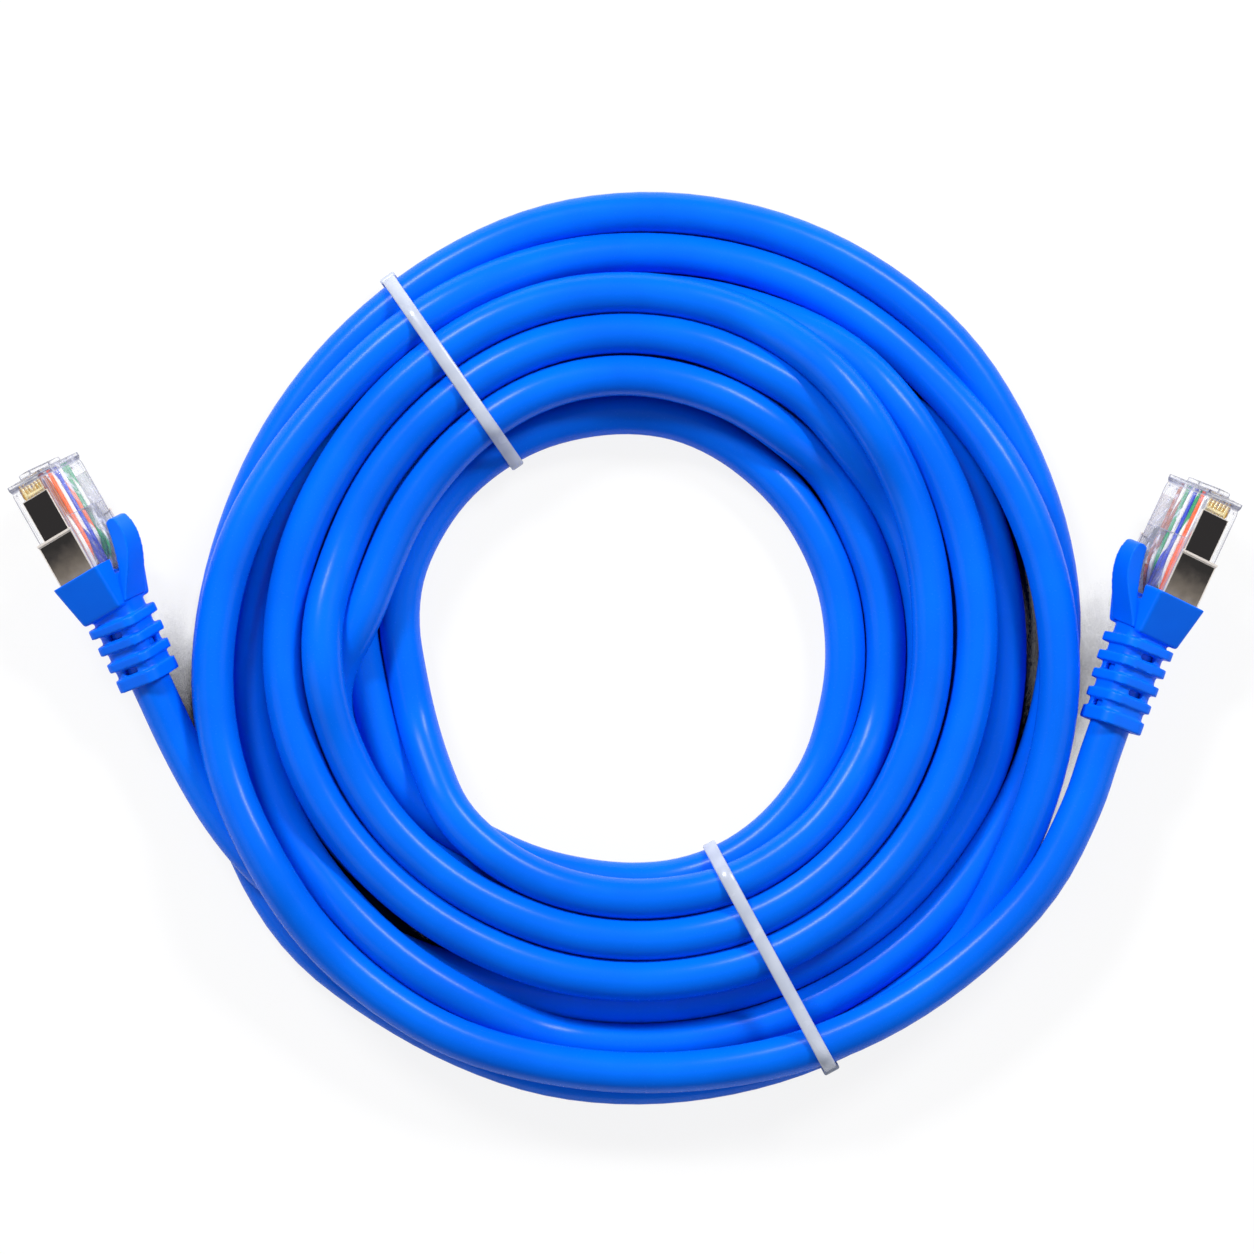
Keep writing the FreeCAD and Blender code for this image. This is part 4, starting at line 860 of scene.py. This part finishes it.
class PATCHCABLE_OT_boots(bpy.types.Operator):
    """Mould the ribbed boots and their latch guards with eased edges"""
    bl_idname = "patchcable.boots"
    bl_label = "Boots and guards"

    def execute(self, context):
        tones = context.scene.patchcable_plugs
        rubber = moulded_plastic(
            "boot_blue_moulded", tones.boot, tones.boot_deep, roughness=0.38, grain=1800, lump=0.10,
        )
        for end in ENDS:
            made = merged_copy(end, f"boot_{end}_body")
            boot = softened(made, end, f"boot_{end}_moulding", BOOT_SKIN)
            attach(boot, "cable")
            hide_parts(f"boot_{end}_body")
            # The guard runs into the sleeve over a web that bends with it.
            made = merged_copy(end, f"boot_{end}_guard")
            closed_between(made, *WEB)
            guard = softened(made, end, f"boot_{end}_tongue", GUARD_SKIN)
            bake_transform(guard)
            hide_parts(f"boot_{end}_guard")
            for piece in (boot, guard):
                paint(piece.data, rubber)
        return {"FINISHED"}


class PATCHCABLE_OT_housings(bpy.types.Operator):
    """Mould the clear housings and latches, and finish the load bars"""
    bl_idname = "patchcable.housings"
    bl_label = "Housings and latches"

    def execute(self, context):
        tones = context.scene.patchcable_plugs
        for end in ENDS:
            polished, milky, inner = (
                clear_plastic(
                    f"polycarbonate_{kind}_{end}", tones.clear, tones.clear_edge, veil,
                    plug_turn(end),
                )
                for kind, veil in (("polished", 0.025), ("latch", 0.05), ("as_moulded", 0.01))
            )
            for node, name, body, grade, material, slot, shape in (
                ("housing", "shell", "cable", SHELL_SKIN, polished, "clear_plastic",
                 (HOUSING_FILL, HOUSING_BLOCKS, HOUSING_LINES)),
                ("latch", "spring", f"latch_{end}", SMALL_SKIN, milky, "clear_plastic", ()),
                ("load_bar", "comb", "cable", SMALL_SKIN, inner, "clear_plastic_inner",
                 (COMB_FILL,)),
            ):
                made = merged_copy(end, f"plug_{end}_{node}")
                piece = softened(made, end, f"plug_{end}_{name}", grade, *shape)
                paint(piece.data, material)
                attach(piece, body)
                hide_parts(f"plug_{end}_{node}")
        return {"FINISHED"}


class PATCHCABLE_OT_shields(bpy.types.Operator):
    """Stamp the plated shields with their hems, and finish the foil and the drain wires"""
    bl_idname = "patchcable.shields"
    bl_label = "Shields"

    def execute(self, context):
        tones = context.scene.patchcable_plugs
        foil = crumpled_foil("foil_creased", "#D9DBDF", "#8F9299")
        tinned = plated_metal("tinned_wire", ((0.0, "#A5A4A0"), (1.0, "#C9C8C4")), 0.25)
        bright = plated_metal("nickel_hem_bright", (
            (0.1, "#CFC7BF"), (0.4, tones.sheet),
        ), 0.3, 0.35)
        # painted light: the shield's inner faces are painted almost white, for the light that the
        # clear housing scatters onto them
        inside = plated_metal("nickel_inside_painted_pale", ((0.0, "#F1F0F6"), (1.0, "#FAF9FC")), 0.5, 0.1)
        # painted reflection: the front plates' flats are painted nearly black, for a dark studio
        # mirrored in them
        mirror = plated_metal("nickel_plate_painted_dark_reflection", ((0.95, "#201E20"), (1.3, "#302E2E")), 0.14)
        # painted reflection: the rear flats run from pale at the back end to nearly black towards
        # the lip
        drawn = plated_metal("nickel_plate_drawn_painted_reflection", (
            (0.1, "#A2978A"), (0.45, "#736A60"), (0.85, "#35302D"), (1.05, "#1F1C1A"),
        ), 0.2, 0.55)
        for end in ENDS:
            made = bmesh.new()
            inner, floor = SHIELD_HALF - SHEET, SHIELD_FLOOR + SHEET
            for (near, far), rise in ((SHIELD_REAR, 0.0), (SHIELD_LIP, LIP_RISE)):
                outer = SHIELD_HALF + rise
                prism(made, (
                    (-outer, SHIELD_TOP), (-outer, SHIELD_FLOOR), (outer, SHIELD_FLOOR),
                    (outer, SHIELD_TOP), (inner, SHIELD_TOP), (inner, floor), (-inner, floor),
                    (-inner, SHIELD_TOP),
                ), near, far)
            low, high = PLATE_HEIGHTS
            for side in (-1, 1):
                outer, inner = side * PLATE_HALF, side * (PLATE_HALF - SHEET)
                plate = ((outer, low), (inner, low), (inner, high), (outer, high))
                prism(made, plate, *SHIELD_FRONT)
            ease_edges(made, SHEET_EASE)
            bmesh.ops.recalc_face_normals(made, faces=made.faces)
            # the hem is a raised rim round each plate, and the plates' flats lie a little lower
            made.normal_update()
            flats = [
                f for f in made.faces if abs(f.normal.x) > 0.99 and f.calc_area() > HEMMED_AREA
            ]
            for face in flats:
                middle = face.calc_center_median()
                front = middle.y > SHIELD_LIP[1]
                if abs(middle.x) < (PLATE_HALF if front else SHIELD_HALF) - SHEET / 2:
                    # the inner flats get the painted pale tone
                    face.material_index = 3
                    continue
                hem = HEM_FRONT if front else HEM_REAR
                bmesh.ops.inset_region(made, faces=[face], thickness=hem, depth=-HEM_HEIGHT)
                # front flats get the painted dark reflection, rear flats the painted reflection
                # that darkens towards the lip
                face.material_index = 1 if front else 2
            mesh = outward_mesh(made, f"plug_{end}_stamping")
            note_along(mesh, 1, 0.0, SHIELD_REAR[1])
            for material in (bright, mirror, drawn, inside):
                mesh.materials.append(material)
            mesh.transform(plug_matrix(end))
            shield = mesh_object(f"plug_{end}_stamping", mesh)
            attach(shield, "cable")
            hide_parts(f"plug_{end}_shield")
            give(f"plug_{end}_drain_wire", tinned)
            give(f"plug_{end}_foil", foil)
        return {"FINISHED"}


class PATCHCABLE_OT_contacts(bpy.types.Operator):
    """Set the eight gold-plated blades in their row, and finish the wires' copper"""
    bl_idname = "patchcable.contacts"
    bl_label = "Contacts and copper"

    def execute(self, context):
        tones = context.scene.patchcable_plugs
        # painted shade and highlight: the blades are painted dark brown towards the contact face
        # and pale, nearly white gold higher up
        gold = plated_metal("gold_contact_plated", (
            (0.2, "#8A5212"), (0.6, tones.gold), (0.95, "#FFEEB8"),
        ), 0.25, 0.6)
        copper = plated_metal("bare_copper", ((0.0, "#A85F3A"), (1.0, "#D98A5C")), 0.25)
        tree = row_tree()
        low, high = BLADE[2][1], BLADE[6][1]
        for end in ENDS:
            made = bmesh.new()
            half = BLADE_THICKNESS / 2
            closed_between(made, *([(x, y, z) for y, z in BLADE] for x in (-half, half)))
            ease_edges(made, BLADE_EASE)
            blade = outward_mesh(made, "blade")
            note_along(blade, 2, low, high)
            mesh = grown(blade, f"plug_{end}_blades", tree, {
                "Count": BLADE_COUNT, "Pitch": BLADE_PITCH, "Material": gold,
            })
            mesh.transform(plug_matrix(end))
            blades = mesh_object(f"plug_{end}_blades", mesh)
            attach(blades, "cable")
            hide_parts(f"plug_{end}_contacts")
            give(f"plug_{end}_wire_cores", copper)
        return {"FINISHED"}


class PATCHCABLE_OT_wires(bpy.types.Operator):
    """Finish the eight coloured wires in each plug"""
    bl_idname = "patchcable.wires"
    bl_label = "Wires"

    def execute(self, context):
        for end in ENDS:
            for wire in WIRE_COLOURS:
                tone = WIRE_TONES[wire.removeprefix("white_")]
                base, stripe = (WIRE_WHITE, tone) if wire.startswith("white") else (tone, "")
                material = wire_insulation(f"wire_{wire}_{end}", base, stripe, plug_turn(end))
                give(f"plug_{end}_wire_{wire}", material)
        return {"FINISHED"}


class PATCHCABLE_OT_stage(bpy.types.Operator):
    """Set the pale floor, the soft lights and the camera over the coil"""
    bl_idname = "patchcable.stage"
    bl_label = "Stage"

    def execute(self, context):
        scene = context.scene
        scene.view_settings.view_transform = "Standard"
        material, tree, place = new_material("floor_pale")
        grain = spots(tree, place, 30, 2.0)
        tone = ramp(tree, grain, ((0.3, colour("#F3F3F4")), (0.7, colour("#F6F6F7"))))
        # between the strands the ground is out of the light: it is dark there, and it glows only
        # where it is open
        open_sky = add(tree, "ShaderNodeAmbientOcclusion", {"Distance": SHADE_REACH}, samples=16)
        openness = open_sky.outputs["AO"]
        shaded = add(tree, "ShaderNodeVectorMath", {0: tone, 1: ramp(tree, openness, (
            (SHADE_DARK, colour("#0C1B36")), (SHADE_LIT, colour("#FFFFFF")),
        ))}, operation="MULTIPLY")
        lit = add(tree, "ShaderNodeMapRange", {
            "Value": openness, "From Min": SHADE_DARK, "From Max": SHADE_LIT, "To Max": GROUND_GLOW,
        }, interpolation_type="SMOOTHSTEP")
        mirrored = add(tree, "ShaderNodeLightPath").outputs["Is Glossy Ray"]
        dim = maths(tree, "MULTIPLY", mirrored, GROUND_MIRRORED)
        shown = maths(tree, "MAXIMUM", seen_directly(tree), dim)
        matte = add(tree, "ShaderNodeBsdfDiffuse", {"Color": shaded.outputs["Vector"]})
        glow = add(tree, "ShaderNodeEmission", {"Color": colour("#FFFFFF"), "Strength": 1.0})
        both = add(tree, "ShaderNodeMixShader", {
            0: maths(tree, "MULTIPLY", shown, lit.outputs["Result"]),
            1: matte.outputs[0], 2: glow.outputs[0],
        })
        add(tree, "ShaderNodeOutputMaterial", {"Surface": both.outputs[0]})
        made = bmesh.new()
        bmesh.ops.create_grid(made, x_segments=2, y_segments=2, size=GROUND_HALF)
        mesh = plain_mesh(made, "floor")
        floor = mesh_object("floor", mesh)
        mesh.materials.append(material)

        world = bpy.data.worlds.new("studio")
        scene.world = world
        world.use_nodes = True
        air = world.node_tree
        air.nodes.clear()
        ambient = add(air, "ShaderNodeBackground", {
            "Color": colour("#F4F6FA"), "Strength": AMBIENT,
        })
        white = add(air, "ShaderNodeBackground", {"Color": colour("#FFFFFF"), "Strength": 1.0})
        pick = add(air, "ShaderNodeMixShader", {
            0: seen_directly(air), 1: ambient.outputs[0], 2: white.outputs[0],
        })
        add(air, "ShaderNodeOutputWorld", {"Surface": pick.outputs[0]})

        for name, place, power, size in LAMPS:
            lamp = bpy.data.lights.new(name, "AREA")
            lamp.shape = "RECTANGLE"
            lamp.size, lamp.size_y = size
            lamp.energy = power
            holder = bpy.data.objects.new(name, lamp)
            holder.location = place
            holder.rotation_euler = (-Vector(place)).to_track_quat("-Z", "Y").to_euler()
            scene.collection.objects.link(holder)

        camera = bpy.data.cameras.new("camera")
        camera.sensor_width = 36.0
        camera.lens = camera.sensor_width * CAMERA_HEIGHT / FRAME_WIDTH
        camera.clip_end = 10.0
        holder = bpy.data.objects.new("camera", camera)
        holder.location = (*CAMERA_OVER, CAMERA_HEIGHT + PLUG_LEVEL)
        scene.collection.objects.link(holder)
        scene.camera = holder
        return {"FINISHED"}


class PATCHCABLE_PT_panel(bpy.types.Panel):
    """Lists the pieces of the patch cable"""
    bl_idname = "PATCHCABLE_PT_panel"
    bl_label = "Patch Cable"
    bl_space_type = "VIEW_3D"
    bl_region_type = "UI"
    bl_category = "Patch Cable"

    def draw(self, context):
        layout = self.layout
        for key in GROUPS:
            group = getattr(context.scene, key)
            box = layout.box()
            for setting in group.__annotations__:
                box.prop(group, setting)
        for step in STEPS:
            layout.operator(step.bl_idname)


GROUPS = {
    "patchcable_cord": PatchCableCord,
    "patchcable_ties": PatchCableTies,
    "patchcable_plugs": PatchCablePlugs,
}
STEPS = (
    PATCHCABLE_OT_stage, PATCHCABLE_OT_boots, PATCHCABLE_OT_housings, PATCHCABLE_OT_cord,
    PATCHCABLE_OT_ties, PATCHCABLE_OT_shields, PATCHCABLE_OT_contacts, PATCHCABLE_OT_wires,
)


def register():
    """Registers the settings, the operators and the panel."""
    for kind in (*GROUPS.values(), *STEPS, PATCHCABLE_PT_panel):
        bpy.utils.register_class(kind)
    for key, group in GROUPS.items():
        setattr(bpy.types.Scene, key, bpy.props.PointerProperty(type=group))


def unregister():
    """Takes them out again."""
    for key in GROUPS:
        delattr(bpy.types.Scene, key)
    for kind in reversed((*GROUPS.values(), *STEPS, PATCHCABLE_PT_panel)):
        bpy.utils.unregister_class(kind)


def main():
    """Builds the whole scene."""
    register()
    for step in STEPS:
        group, name = step.bl_idname.split(".")
        getattr(getattr(bpy.ops, group), name)()


if __name__ == "__main__":
    main()
